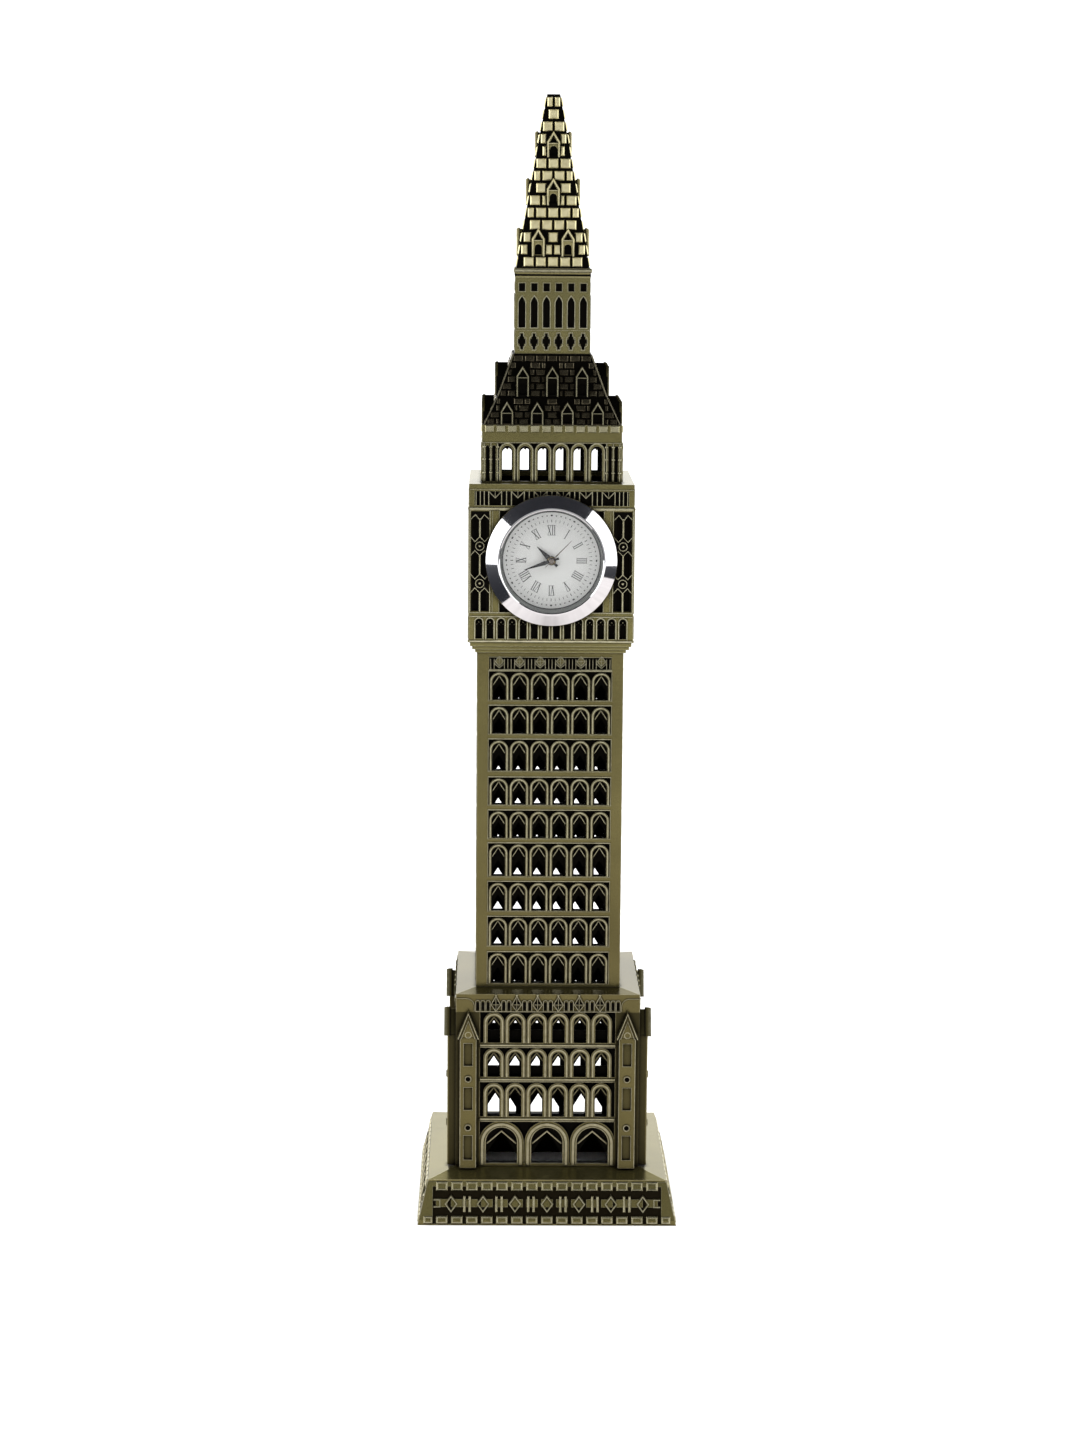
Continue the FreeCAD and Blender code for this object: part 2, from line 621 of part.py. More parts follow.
def hand(length, half_width, tail, boss, bore, low, angle):
    """Leaf-shaped hand drawn at 12 o'clock with a boss, turned to its angle."""
    broad = 0.25 * length
    points = [(-0.6 * half_width, tail), (0.6 * half_width, tail), (0.35 * half_width, 0.0),
              (half_width, -broad), (0.04, -length), (-0.04, -length), (-half_width, -broad),
              (-0.35 * half_width, 0.0)]
    blade = plate(points, low, "hand_thick", angle)
    return cut(fuse([blade, cylinder(boss, low, "hand_thick")]),
               cylinder(bore, "%s - 1" % low, "hand_thick + 2"))


CENTRE = (0.0, 0.0)
THIRD = polar(2.16, 170)
FIFTH = polar(2.40, -60)
ROTOR = polar(2.24, -20, FIFTH)
MINUTE_STUD = polar(20 * D["motion_module"], 90)
BATTERY = polar(5.6, 60)
POSTS = [(-4.6, -1.9), (-2.9, 3.9)]


def build_case():
    insert_node(turned([
        ("barrel_radius - 0.22", "0"), ("bezel_radius", "0"), ("bezel_radius", "0 - 1.0"),
        ("bezel_radius - 0.5", "0 - 1.9"), ("bezel_radius - 1.6", "0 - 2.8"),
        ("bezel_radius - 2.3", "0 - bezel_proud"), ("bezel_lip_radius + 0.05", "0.1 - bezel_proud"),
        ("bezel_lip_radius", "0 - 2.35"), ("gasket_radius + 0.02", "0 - 2.35"),
        ("gasket_radius + 0.02", "0 - 0.82"), ("barrel_radius - 0.22", "0 - 0.82")]), "clock_bezel")
    insert_node(cylinder("crystal_radius", "0 - 2.33", "crystal_thick"), "crystal")
    insert_node(ring("gasket_radius", "crystal_radius + 0.02", "0 - 2.33", "crystal_thick"),
                "crystal_gasket")
    insert_node(turned([
        ("bezel_lip_radius", "0 - 1.51"), ("gasket_radius", "0 - 1.51"), ("gasket_radius", "0 - 0.02"),
        ("bezel_lip_radius - 0.4", "0 - 0.02")]), "inner_ring")
    insert_node(ring("dial_radius", "hour_pipe_radius + 0.1", "0", "dial_thick"), "dial")
    shell = turned([
        ("barrel_bore", "0 - 0.8"), ("barrel_radius - 0.24", "0 - 0.8"),
        ("barrel_radius - 0.24", "0"), ("barrel_radius", "0"), ("barrel_radius", "0.7"),
        ("barrel_radius - 0.5", "0.7"), ("barrel_radius - 0.5", "1.6"), ("barrel_radius", "1.6"),
        ("barrel_radius", "barrel_step"), ("pocket_radius", "barrel_step"),
        ("pocket_radius", "pocket_end"), ("pocket_bore", "pocket_end"), ("pocket_bore", "1.62"),
        ("barrel_bore", "1.62")])
    insert_node(cut(shell, along_x("stem_radius + 0.05", 8.0, "2")), "clock_case")
    insert_node(ring("grip_radius", "barrel_radius - 0.48", "0.72", "0.86"), "grip_ring")
    insert_node(ring("barrel_bore - 0.05", "8.0", "dial_thick + 0.02", "1.06"), "movement_holder")
    rim = ring("pocket_bore - 0.05", "8.2", "pocket_end - 0.5", "0.6")
    insert_node(fuse([cylinder("pocket_radius", "pocket_end", "case_back_thick"), rim]),
                "case_back")


def along_x(radius, x, length):
    """Round bar on the stem's line."""
    obj = doc.addObject("Part::Cylinder", "Bar")
    obj.Placement = FreeCAD.Placement(VECTOR(x, 0, 0), FreeCAD.Rotation(VECTOR(0, 1, 0), 90))
    return bind(obj, Radius=radius, Height=length, Placement__Base__z="stem_depth")


def build_plates():
    rear = "plate_front + plate_thick"
    pieces = [cylinder("plate_radius", "plate_front", "plate_thick"),
              cylinder("0.15", "0.45", "plate_front - 0.4", *MINUTE_STUD),
              block(5.7, 8.2, -0.9, 0.9, rear, "bridge_front - plate_front - plate_thick")]
    for x, y in POSTS:
        pieces.append(cylinder("0.5", rear, "bridge_front - plate_front - plate_thick", x, y))
    seat = cut(cylinder("battery_radius", rear, "0.6", *BATTERY),
               cylinder("battery_radius - 0.6", rear, "0.8", *BATTERY))
    tools = [cylinder("minute_pipe_radius + running_clearance", "1", "2")]
    tools += [cylinder("0.16", "1", "2", x, y) for x, y in (THIRD, FIFTH, ROTOR)]
    tools.append(along_x("stem_radius + running_clearance", 5.0, "5"))
    insert_node(cut(fuse(pieces + [seat]), fuse(tools)), "main_plate")
    holes = [cylinder("0.16", "4", "1", x, y) for x, y in (THIRD, FIFTH, ROTOR)]
    holes.append(cylinder("arbor_radius + 0.04", "4", "1"))
    holes.append(cylinder("battery_radius + 0.2", "4", "1", *BATTERY))
    holes.append(block(-1.2, -0.6, 3.8, 5.8, "4", "1"))
    insert_node(cut(cylinder("6.2", "bridge_front", "bridge_thick"), fuse(holes)), "train_bridge")


def build_electrics():
    insert_node(fuse([cylinder("battery_radius", "2.9", "battery_thick - 0.25", *BATTERY),
                      cylinder("battery_radius - 0.6", "2.9", "battery_thick", *BATTERY)]),
                "battery")
    strip = block(-1.0, 6.2, 4.0, 5.6, "4.92", "0.2")
    leg = block(-1.0, -0.8, 4.0, 5.6, "2.3", "2.8")
    insert_node(fuse([strip, leg]), "battery_clamp")
    board = cut(cylinder("8.4", "4.75", "0.3"), block(-9, 9, 1.2, 9, "4", "2"))
    chip = block(-3.6, -1.2, -2.6, -0.4, "5.05", "0.4")
    insert_node(fuse([board, chip]), "circuit_board")
    insert_node(block(-5.0, 4.9, -6.6, -6.0, "2.96", "0.5"), "coil_core")
    winding = doc.addObject("Part::Cylinder", "Winding")
    bind(winding, Radius="0.9", Height="6.6")
    winding.Placement = FreeCAD.Placement(VECTOR(-3.8, -6.3, 3.21),
                                          FreeCAD.Rotation(VECTOR(0, 1, 0), 90))
    slot = block(-5.1, 5.0, -6.61, -5.99, "2.95", "0.52")
    insert_node(cut(winding, slot), "coil_winding")
    arms = [block(2.9, 4.9, -6.6, -3.0, "2.45", "0.5"), block(-5.0, 2.6, -4.75, -4.1, "2.45", "0.5"),
            block(-5.0, -3.9, -6.6, -4.1, "2.45", "0.5"), cylinder("1.6", "2.45", "0.5", *ROTOR)]
    insert_node(cut(fuse(arms), cylinder("1.05", "2.3", "1", *ROTOR)), "stator")


def build_going_train():
    centre_wheel, third_pinion = mesh(
        {"teeth": 64, "module": 0.06, "centre": CENTRE, "low": "2.45"},
        {"teeth": 8, "centre": THIRD, "low": "2.40"})
    third_wheel, second_pinion = mesh(
        {"teeth": 60, "module": 2.16 / 34, "centre": THIRD, "low": "2.75"},
        {"teeth": 8, "centre": CENTRE, "low": "2.72"})
    second_wheel, fifth_pinion = mesh(
        {"teeth": 40, "module": 0.10, "centre": CENTRE, "low": "3.05"},
        {"teeth": 8, "centre": FIFTH, "low": "3.00"})
    fifth_wheel, rotor_pinion = mesh(
        {"teeth": 48, "module": 0.08, "centre": FIFTH, "low": "3.35"},
        {"teeth": 8, "centre": ROTOR, "low": "3.30"})
    insert_node(cut(centre_wheel, cylinder("minute_pipe_radius + 0.03", "2", "1")), "centre_wheel")
    insert_node(fuse([third_wheel, third_pinion, cylinder("0.12", "1.9", "2.7", *THIRD)]),
                "third_wheel")
    insert_node(fuse([second_wheel, second_pinion,
                      cylinder("arbor_radius", "0 - 1.25", "5.85")]), "second_wheel")
    insert_node(fuse([fifth_wheel, fifth_pinion, cylinder("0.12", "1.9", "2.7", *FIFTH)]),
                "intermediate_wheel")
    insert_node(fuse([rotor_pinion, cylinder("0.9", "2.5", "0.6", *ROTOR),
                      cylinder("0.12", "1.9", "2.7", *ROTOR)]), "rotor")


def build_motion_work():
    module = D["motion_module"]
    wheel, leaves = mesh({"teeth": 30, "module": module, "centre": MINUTE_STUD, "low": "0.85"},
                         {"teeth": 10, "centre": CENTRE, "low": "0.80"})
    hour_disc, pinion = mesh({"teeth": 32, "module": module, "centre": CENTRE, "low": "0.50"},
                             {"teeth": 8, "centre": MINUTE_STUD, "low": "0.45"})
    pipe = cylinder("minute_pipe_radius", "0 - 0.9", "3.56")
    insert_node(cut(fuse([leaves, pipe]),
                    cylinder("arbor_radius + running_clearance", "0 - 1", "4")), "cannon_pinion")
    hub = cylinder("0.34", "0.45", "0.55", *MINUTE_STUD)
    insert_node(cut(fuse([wheel, pinion, hub]), cylinder("0.20", "0", "2", *MINUTE_STUD)),
                "minute_wheel")
    insert_node(cut(fuse([hour_disc, cylinder("hour_pipe_radius", "0 - 0.52", "1.17")]),
                    cylinder("minute_pipe_radius + running_clearance", "0 - 1", "2")), "hour_wheel")


def build_hands():
    insert_node(hand(D["hour_hand_length"], 0.52, 1.65, "0.95", "hour_pipe_radius + 0.01",
                     "0 - 0.50", D["hour_angle"]), "hour_hand")
    insert_node(hand(D["minute_hand_length"], 0.42, 1.6, "0.65", "minute_pipe_radius + 0.01",
                     "0 - 0.85", D["minute_angle"]), "minute_hand")
    insert_node(hand(D["second_hand_length"], 0.12, 1.8, "0.32", "arbor_radius + 0.01",
                     "0 - 1.20", D["second_angle"]), "second_hand")


def build_setting():
    insert_node(along_x("stem_radius", 4.4, "5.7"), "setting_stem")
    insert_node(cut(along_x("0.8", 4.5, "0.3"), along_x("stem_radius + 0.03", 4.0, "2")),
                "stem_detent")
    grooves = []
    for angle in range(0, 360, 20):
        y, z = polar(D["crown_radius"] + 0.02, angle)
        notch = along_x("0.1", 9.6, "crown_length + 1")
        notch.Placement.Base.y = y
        notch.setExpression("Placement.Base.z", "Dims.stem_depth + %.4f" % z)
        grooves.append(notch)
    knob = cut(along_x("crown_radius", 9.7, "crown_length"), fuse(grooves))
    insert_node(cut(knob, along_x("stem_radius + 0.01", 9.0, "1.11")), "crown")


build_case()
build_plates()
build_electrics()
build_going_train()
build_motion_work()
build_hands()
build_setting()

def check_document():
    """Stop before anything is written if an object of the document failed."""
    doc.recompute()
    for obj in doc.Objects:
        if "Invalid" in obj.State or "Error" in obj.State:
            raise RuntimeError("%s (%s) failed: %s" % (obj.Label, obj.Name, obj.State))
    for obj in exported:
        if obj.Shape.isNull() or not obj.Shape.isValid():
            raise RuntimeError("%s has no valid shape" % obj.Label)


check_document()
os.makedirs("parts", exist_ok=True)
for piece in exported:
    piece.Shape.exportStep("parts/%s.step" % piece.Label)
    print(piece.Label, len(piece.Shape.Solids), round(piece.Shape.Volume, 2))
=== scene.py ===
"""Clock tower ornament: raised work on the castings, clock face, finishes, light and camera."""
import json
import math

import bmesh
import bpy
from mathutils import Matrix, Vector

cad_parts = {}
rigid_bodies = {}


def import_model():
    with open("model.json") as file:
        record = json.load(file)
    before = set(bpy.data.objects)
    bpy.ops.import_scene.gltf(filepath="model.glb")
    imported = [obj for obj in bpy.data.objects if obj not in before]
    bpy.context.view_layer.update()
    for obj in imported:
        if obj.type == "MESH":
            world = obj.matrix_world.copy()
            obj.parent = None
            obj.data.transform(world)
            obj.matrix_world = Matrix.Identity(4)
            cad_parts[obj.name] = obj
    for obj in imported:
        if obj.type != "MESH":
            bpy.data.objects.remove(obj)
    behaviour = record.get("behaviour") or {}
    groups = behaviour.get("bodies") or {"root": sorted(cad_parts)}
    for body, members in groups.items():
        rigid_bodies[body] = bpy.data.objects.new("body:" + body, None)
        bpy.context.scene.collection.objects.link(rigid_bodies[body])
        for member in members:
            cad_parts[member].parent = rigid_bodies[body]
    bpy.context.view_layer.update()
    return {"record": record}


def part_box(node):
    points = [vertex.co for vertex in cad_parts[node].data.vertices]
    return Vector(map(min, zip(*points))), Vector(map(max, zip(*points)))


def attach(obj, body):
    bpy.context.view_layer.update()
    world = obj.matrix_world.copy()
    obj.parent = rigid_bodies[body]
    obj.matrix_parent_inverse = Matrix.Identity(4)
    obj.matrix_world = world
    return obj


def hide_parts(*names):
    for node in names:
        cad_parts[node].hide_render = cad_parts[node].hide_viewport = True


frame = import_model()

MM = 0.001
SIDES = [("front", 0), ("right", 90), ("back", 180), ("left", 270)]
# how rubbed a point is: bright edges, plain faces, and corners that stay dark; DARK also paints
# shade on the discs that stand in for the piers' round holes
WORN, PLAIN, DARK = 1.0, 0.0, -1.0

# sizes that the raised work shares with the castings, in mm
BRICK_PITCH = 3.1
PLINTH_EDGE_HALF, PLINTH_EDGE = 24.7, 8.7
LOWER_FACE, LOWER_BAY, PORTAL_BAY, LOZENGE_BAY = 19.0, 4.45, 9.45, 4.3
LOWER_FIELD_HALF = 14
PIER_FACE, PIER_MIDDLE = 20.7, 16.425
SHAFT_BAY, SHAFT_FIELD_HALF = 4.17, 12.6
STAGE_BAY, STAGE_HALF, CHEVRON_BAY = 2.25, 16.6, 4.58
BELFRY_BAY, LANTERN_BAY = 3.62, 2.49
SPIRE_FOOT, SPIRE_HALF_LOW, SPIRE_HALF_HIGH = 195.2, 7.4, 1.32
# bottom and top of each row of windows: three in the lower storey, nine in the shaft
LOWER_ROWS = ((20.95, 28.35), (29.45, 35.8), (36.75, 43.4))
SHAFT_ROWS = ((48.4, 55.0), (56.4, 62.5), (63.8, 69.9), (71.1, 78.0), (79.1, 84.9),
              (86.1, 91.8), (93.2, 99.7), (100.9, 106.7), (107.9, 113.8))


def top_of(node):
    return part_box(node)[1][2] / MM


def face_of(node):
    """Distance in mm from the tower's axis to the front of a node."""
    return -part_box(node)[0][1] / MM


# ------------------------------------------------------------------ shapes
def arch(x, low, high, radius, steps=12):
    """Path up one leg, round and down the other."""
    spring = high - radius
    path = [(x - radius, low)]
    for i in range(steps + 1):
        angle = math.pi * (1 - i / steps)
        path.append((x + radius * math.cos(angle), spring + radius * math.sin(angle)))
    return path + [(x + radius, low)]


def lancet(x, low, high, half):
    """Pointed window outline, anticlockwise from its lower left corner."""
    spring = high - 1.75 * half
    left = [(x - half, low), (x - half, spring), (x - 0.68 * half, high - 0.8 * half), (x, high)]
    right = [(2 * x - px, pz) for px, pz in reversed(left[:-1])]
    return left + right


def circle(x, z, radius, steps=16):
    return [(x + radius * math.cos(2 * math.pi * i / steps),
             z + radius * math.sin(2 * math.pi * i / steps)) for i in range(steps)]


def rectangle(x_low, x_high, z_low, z_high):
    return [(x_low, z_low), (x_high, z_low), (x_high, z_high), (x_low, z_high)]


def spaced(count, pitch):
    """Evenly spaced places, with zero in their middle."""
    return [(i - (count - 1) / 2) * pitch for i in range(count)]


def taper(z_low, half_low, z_high, half_high):
    """How far a sloping face is from the tower's axis, as a function of height."""
    return lambda z: half_low - (half_low - half_high) * (z - z_low) / (z_high - z_low)


def settle(mesh, crease):
    """Turn a mesh's faces outwards and smooth it, but for edges sharper than crease degrees."""
    work = bmesh.new()
    work.from_mesh(mesh)
    bmesh.ops.recalc_face_normals(work, faces=work.faces)
    for face in work.faces:
        face.smooth = True
    work.to_mesh(mesh)
    work.free()
    mesh.set_sharp_from_angle(angle=math.radians(crease))


def mitres(path, closed):
    """Unit sideways step at each point of a path, longer at a corner so that the width holds."""
    points = [Vector(p) for p in path]
    count = len(points)
    steps = []
    for i in range(count):
        before = points[i] - points[i - 1] if closed or i else points[1] - points[0]
        after = (points[(i + 1) % count] - points[i] if closed or i < count - 1
                 else points[-1] - points[-2])
        first = Vector((-before.y, before.x)).normalized()
        second = Vector((-after.y, after.x)).normalized()
        steps.append((first + second) / max(0.5, 1 + first.dot(second)))
    return steps


class Relief:
    """Raised work on one face of the tower, drawn in mm as (across, up) and height off the face."""

    def __init__(self, face):
        self.face = face if callable(face) else lambda z: face
        self.points, self.faces, self.wear = [], [], []

    def ring(self, outline, out, wear):
        """Points of an outline at one height off the face; gives their numbers."""
        start = len(self.points)
        for x, z in outline:
            self.points.append((x * MM, -(self.face(z) + out) * MM, z * MM))
            self.wear.append(wear)
        return list(range(start, start + len(outline)))

    def skin(self, first, second):
        """Faces between two rings of as many points."""
        for i in range(len(first)):
            j = (i + 1) % len(first)
            self.faces.append((first[i], first[j], second[j], second[i]))

    def ribbon(self, path, width, base, top, closed=False, wear=WORN):
        """Moulding with a rounded back that follows a path."""
        section = [(-0.5, base, DARK), (-0.5, base + 0.55 * (top - base), 0.2 * wear),
                   (-0.22, top, wear), (0.22, top, wear),
                   (0.5, base + 0.55 * (top - base), 0.2 * wear), (0.5, base, DARK)]
        steps = mitres(path, closed)
        rings = []
        for (x, z), step in zip(path, steps):
            ring = []
            for across, out, shade in section:
                ring += self.ring([(x + across * width * step.x, z + across * width * step.y)],
                                  out, shade)
            rings.append(ring)
        pairs = list(zip(rings, rings[1:]))
        if closed:
            pairs.append((rings[-1], rings[0]))
        else:
            self.faces += [tuple(rings[0]), tuple(rings[-1])]
        for first, second in pairs:
            self.skin(first, second)

    def block(self, outline, base, top, bevel, pan=0.0, wear=WORN):
        """Bevelled block on a convex outline; pan sinks its middle inside a rim."""
        inward = mitres(outline, True)

        def inset(distance):
            return [(x + distance * s.x, z + distance * s.y) for (x, z), s in zip(outline, inward)]

        rings = [self.ring(outline, base, DARK), self.ring(outline, top - bevel, 0.4 * wear),
                 self.ring(inset(bevel), top, wear)]
        if pan:
            rings.append(self.ring(inset(1.7 * bevel), top, wear))
            rings.append(self.ring(inset(2.4 * bevel), top - pan, PLAIN))
        for first, second in zip(rings, rings[1:]):
            self.skin(first, second)
        self.faces += [tuple(rings[0]), tuple(rings[-1])]

    def boss(self, x, z, radius, base, top, wear=WORN):
        """Small dome."""
        rings = [self.ring(circle(x, z, radius * share, 10), base + rise * (top - base), shade)
                 for share, rise, shade in ((1, 0, DARK), (0.92, 0.5, PLAIN), (0.6, 0.87, wear),
                                            (0.2, 1.0, wear))]
        for first, second in zip(rings, rings[1:]):
            self.skin(first, second)
        self.faces += [tuple(rings[0]), tuple(rings[-1])]

    def mesh(self, name):
        mesh = bpy.data.meshes.new(name)
        mesh.from_pydata(self.points, [], self.faces)
        attribute = mesh.attributes.new("wear", "FLOAT", "POINT")
        attribute.data.foreach_set("value", self.wear)
        settle(mesh, 35)
        return mesh


def four_sides(relief, name, material, sides=SIDES):
    """The same raised work on all four faces, or on some, one piece to a face."""
    mesh = relief.mesh(name)
    mesh.materials.append(material)
    for side, angle in sides:
        piece = bpy.data.objects.new(name + "_" + side, mesh)
        piece.rotation_euler.z = math.radians(angle)
        bpy.context.scene.collection.objects.link(piece)
        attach(piece, "tower")


def lathe(profile, name, centre, material, body, steps=96):
    """Piece of the clock turned about the dial's axis from (radius, forward) points in mm."""
    points, faces = [], []
    for i in range(steps):
        angle = 2 * math.pi * i / steps
        for radius, forward in profile:
            points.append(centre + Vector((radius * math.sin(angle), -forward,
                                           radius * math.cos(angle))) * MM)
    count = len(profile)
    for i in range(steps):
        j = (i + 1) % steps
        for k in range(count):
            n = (k + 1) % count
            faces.append((i * count + k, j * count + k, j * count + n, i * count + n))
    mesh = bpy.data.meshes.new(name)
    mesh.from_pydata(points, [], faces)
    settle(mesh, 30)
    mesh.materials.append(material)
    piece = bpy.data.objects.new(name, mesh)
    bpy.context.scene.collection.objects.link(piece)
    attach(piece, body)
    return piece


# --------------------------------------------------------------- materials
def new_material(name):
    material = bpy.data.materials.new(name)
    material.use_nodes = True
    return material, material.node_tree, material.node_tree.nodes["Principled BSDF"]


def mix(tree, factor, first, second):
    """Colour mix; each input is a socket or a plain value."""
    node = tree.nodes.new("ShaderNodeMix")
    node.data_type = "RGBA"
    for socket, value in ((node.inputs[0], factor), (node.inputs[6], first),
                          (node.inputs[7], second)):
        if isinstance(value, bpy.types.NodeSocket):
            tree.links.new(value, socket)
        elif isinstance(value, tuple):
            socket.default_value = (*value, 1)
        else:
            socket.default_value = value
    return node.outputs[2]


def remap(tree, value, low, high, to_low, to_high):
    """Straight-line map of one range onto another, held at its ends."""
    node = tree.nodes.new("ShaderNodeMapRange")
    tree.links.new(value, node.inputs[0])
    for socket, number in zip(node.inputs[1:5], (low, high, to_low, to_high)):
        socket.default_value = number
    return node.outputs[0]


def maths(tree, operation, first, second):
    """Sum, product or the like, held between 0 and 1; each input is a socket or a number."""
    node = tree.nodes.new("ShaderNodeMath")
    node.operation = operation
    node.use_clamp = True
    for socket, value in zip(node.inputs, (first, second)):
        if isinstance(value, bpy.types.NodeSocket):
            tree.links.new(value, socket)
        else:
            socket.default_value = value
    return node.outputs[0]


def noise(tree, scale, detail=4.0):
    """Grain in metres, the same on a turned copy as on the first."""
    where = tree.nodes.new("ShaderNodeTexCoord")
    node = tree.nodes.new("ShaderNodeTexNoise")
    node.inputs["Scale"].default_value = scale
    node.inputs["Detail"].default_value = detail
    tree.links.new(where.outputs["Object"], node.inputs["Vector"])
    return node.outputs["Fac"]


def bump(tree, shader, height, depth, strength):
    node = tree.nodes.new("ShaderNodeBump")
    node.inputs["Distance"].default_value = depth
    node.inputs["Strength"].default_value = strength
    tree.links.new(height, node.inputs["Height"])
    tree.links.new(node.outputs[0], shader.inputs["Normal"])


def behind(tree, z_low, half_low, z_high, half_high, depth, strip=None):
    """0 on what lies well behind the tower's outer faces between two heights, else 1; in mm.

    strip: a dark strip down both sides of each face, with its near and far distance from the
    middle, its foot and top, the distance from the axis that it stays behind, and how much of
    the plated colour it keeps, from 0 to 1; beside the piers the strip is painted shadow.
    """
    where = tree.nodes.new("ShaderNodeTexCoord")
    axes = tree.nodes.new("ShaderNodeSeparateXYZ")
    tree.links.new(where.outputs["Object"], axes.inputs[0])
    out = maths(tree, "MAXIMUM", maths(tree, "ABSOLUTE", axes.outputs["X"], 0),
                maths(tree, "ABSOLUTE", axes.outputs["Y"], 0))
    face = remap(tree, axes.outputs["Z"], z_low * MM, z_high * MM, half_low * MM, half_high * MM)
    sunk = remap(tree, maths(tree, "SUBTRACT", face, out), 0.5 * depth * MM, depth * MM, 1.0, 0.0)
    if strip:
        soft_edge = 0.05
        aside = maths(tree, "MINIMUM", maths(tree, "ABSOLUTE", axes.outputs["X"], 0),
                      maths(tree, "ABSOLUTE", axes.outputs["Y"], 0))
        within = 1.0
        for value, limit, way in ((aside, "near", 1), (aside, "far", -1),
                                  (axes.outputs["Z"], "foot", 1), (axes.outputs["Z"], "top", -1),
                                  (out, "front", -1)):
            inside = remap(tree, value, (strip[limit] - soft_edge) * MM,
                           (strip[limit] + soft_edge) * MM, 0.5 - 0.5 * way, 0.5 + 0.5 * way)
            within = maths(tree, "MULTIPLY", inside, within)
        sunk = maths(tree, "MULTIPLY", sunk, remap(tree, within, 0.0, 1.0, 1.0, strip["free_of_patina_and_shade"]))
    above = remap(tree, axes.outputs["Z"], z_high * MM, (z_high + 0.1) * MM, 0.0, 1.0)
    below = remap(tree, axes.outputs["Z"], (z_low - 0.1) * MM, z_low * MM, 1.0, 0.0)
    return maths(tree, "MAXIMUM", sunk, maths(tree, "MAXIMUM", above, below))


EDGE_RADIUS, RAG_REACH = 0.16, 1.6      # mm
CLEAN_ROUGH, PIT_ROUGH = 0.24, 0.6


def antiqued(name, body, worn, pit, metal=0.92, storey=None):
    """Plated casting, rubbed bright on its edges and left dark where a rag doesn't reach; a storey's
    strip adds painted shadow, as beside the piers.
    """
    material, tree, shader = new_material(name)
    blotch = noise(tree, 55.0, 5.0)
    grain = noise(tree, 900.0, 3.0)
    shade = mix(tree, remap(tree, blotch, 0.35, 0.7, 0.0, 1.0), body,
                tuple(0.72 * c for c in body))
    wear = tree.nodes.new("ShaderNodeAttribute")
    wear.attribute_name = "wear"
    edges = tree.nodes.new("ShaderNodeBevel")
    edges.samples = 4
    edges.inputs["Radius"].default_value = EDGE_RADIUS * MM
    flat = tree.nodes.new("ShaderNodeNewGeometry")
    dot = tree.nodes.new("ShaderNodeVectorMath")
    dot.operation = "DOT_PRODUCT"
    tree.links.new(edges.outputs[0], dot.inputs[0])
    tree.links.new(flat.outputs["Normal"], dot.inputs[1])
    corner = remap(tree, dot.outputs["Value"], 0.99, 0.86, 0.0, 0.85)
    rubbed = maths(tree, "MAXIMUM", wear.outputs["Fac"], corner)
    rubbed = maths(tree, "MULTIPLY", rubbed, remap(tree, grain, 0.3, 0.6, 0.6, 1.0))
    hidden = tree.nodes.new("ShaderNodeAmbientOcclusion")
    hidden.samples = 6
    hidden.inputs["Distance"].default_value = RAG_REACH * MM
    open_sky = remap(tree, hidden.outputs["AO"], 0.45, 0.82, 0.0, 1.0)
    sunk = remap(tree, wear.outputs["Fac"], -0.9, 0.0, 0.0, 1.0)
    free_of_patina_and_shade = maths(tree, "MULTIPLY", open_sky, sunk)
    # dark ground behind the storey's outer faces, and a strip that beside the piers is painted
    # shadow
    if storey:
        free_of_patina_and_shade = maths(tree, "MULTIPLY", free_of_patina_and_shade, behind(tree, **storey))
    bright = mix(tree, maths(tree, "MULTIPLY", rubbed, free_of_patina_and_shade), shade, worn)
    colour = mix(tree, free_of_patina_and_shade, pit, bright)
    tree.links.new(colour, shader.inputs["Base Color"])
    shader.inputs["Metallic"].default_value = metal
    rougher = remap(tree, free_of_patina_and_shade, 0.0, 1.0, PIT_ROUGH, CLEAN_ROUGH)
    tree.links.new(rougher, shader.inputs["Roughness"])
    bump(tree, shader, grain, 0.05 * MM, 0.25)
    return material


def plain(name, colour, metal, rough, scale=700.0, depth=0.02, variation=0.12):
    """Finish with a fine grain in its colour and its surface; depth is the grain's, in mm."""
    material, tree, shader = new_material(name)
    grain = noise(tree, scale)
    tree.links.new(mix(tree, grain, colour, tuple(c * (1 - variation) for c in colour)),
                   shader.inputs["Base Color"])
    shader.inputs["Metallic"].default_value = metal
    tree.links.new(remap(tree, grain, 0.3, 0.7, rough * 0.85, rough * 1.15),
                   shader.inputs["Roughness"])
    bump(tree, shader, grain, depth * MM, 0.2)
    return material


# each tone's body, its rubbed edges and its dark corners, in linear colour;
# the upper and lantern tones are the brass brightened as painted light, since those storeys
# come out darker higher up, and the foot tone is the brass made brighter too
DARK_CORNER = (0.0035, 0.0028, 0.0015)
BRASS_TONES = ((0.156, 0.134, 0.052), (0.43, 0.405, 0.27), DARK_CORNER)
# painted light: the brass half as bright again for the clock stage and belfry
UPPER_PAINTED_LIGHT_TONES = ((0.235, 0.207, 0.082), (0.62, 0.585, 0.40), DARK_CORNER)
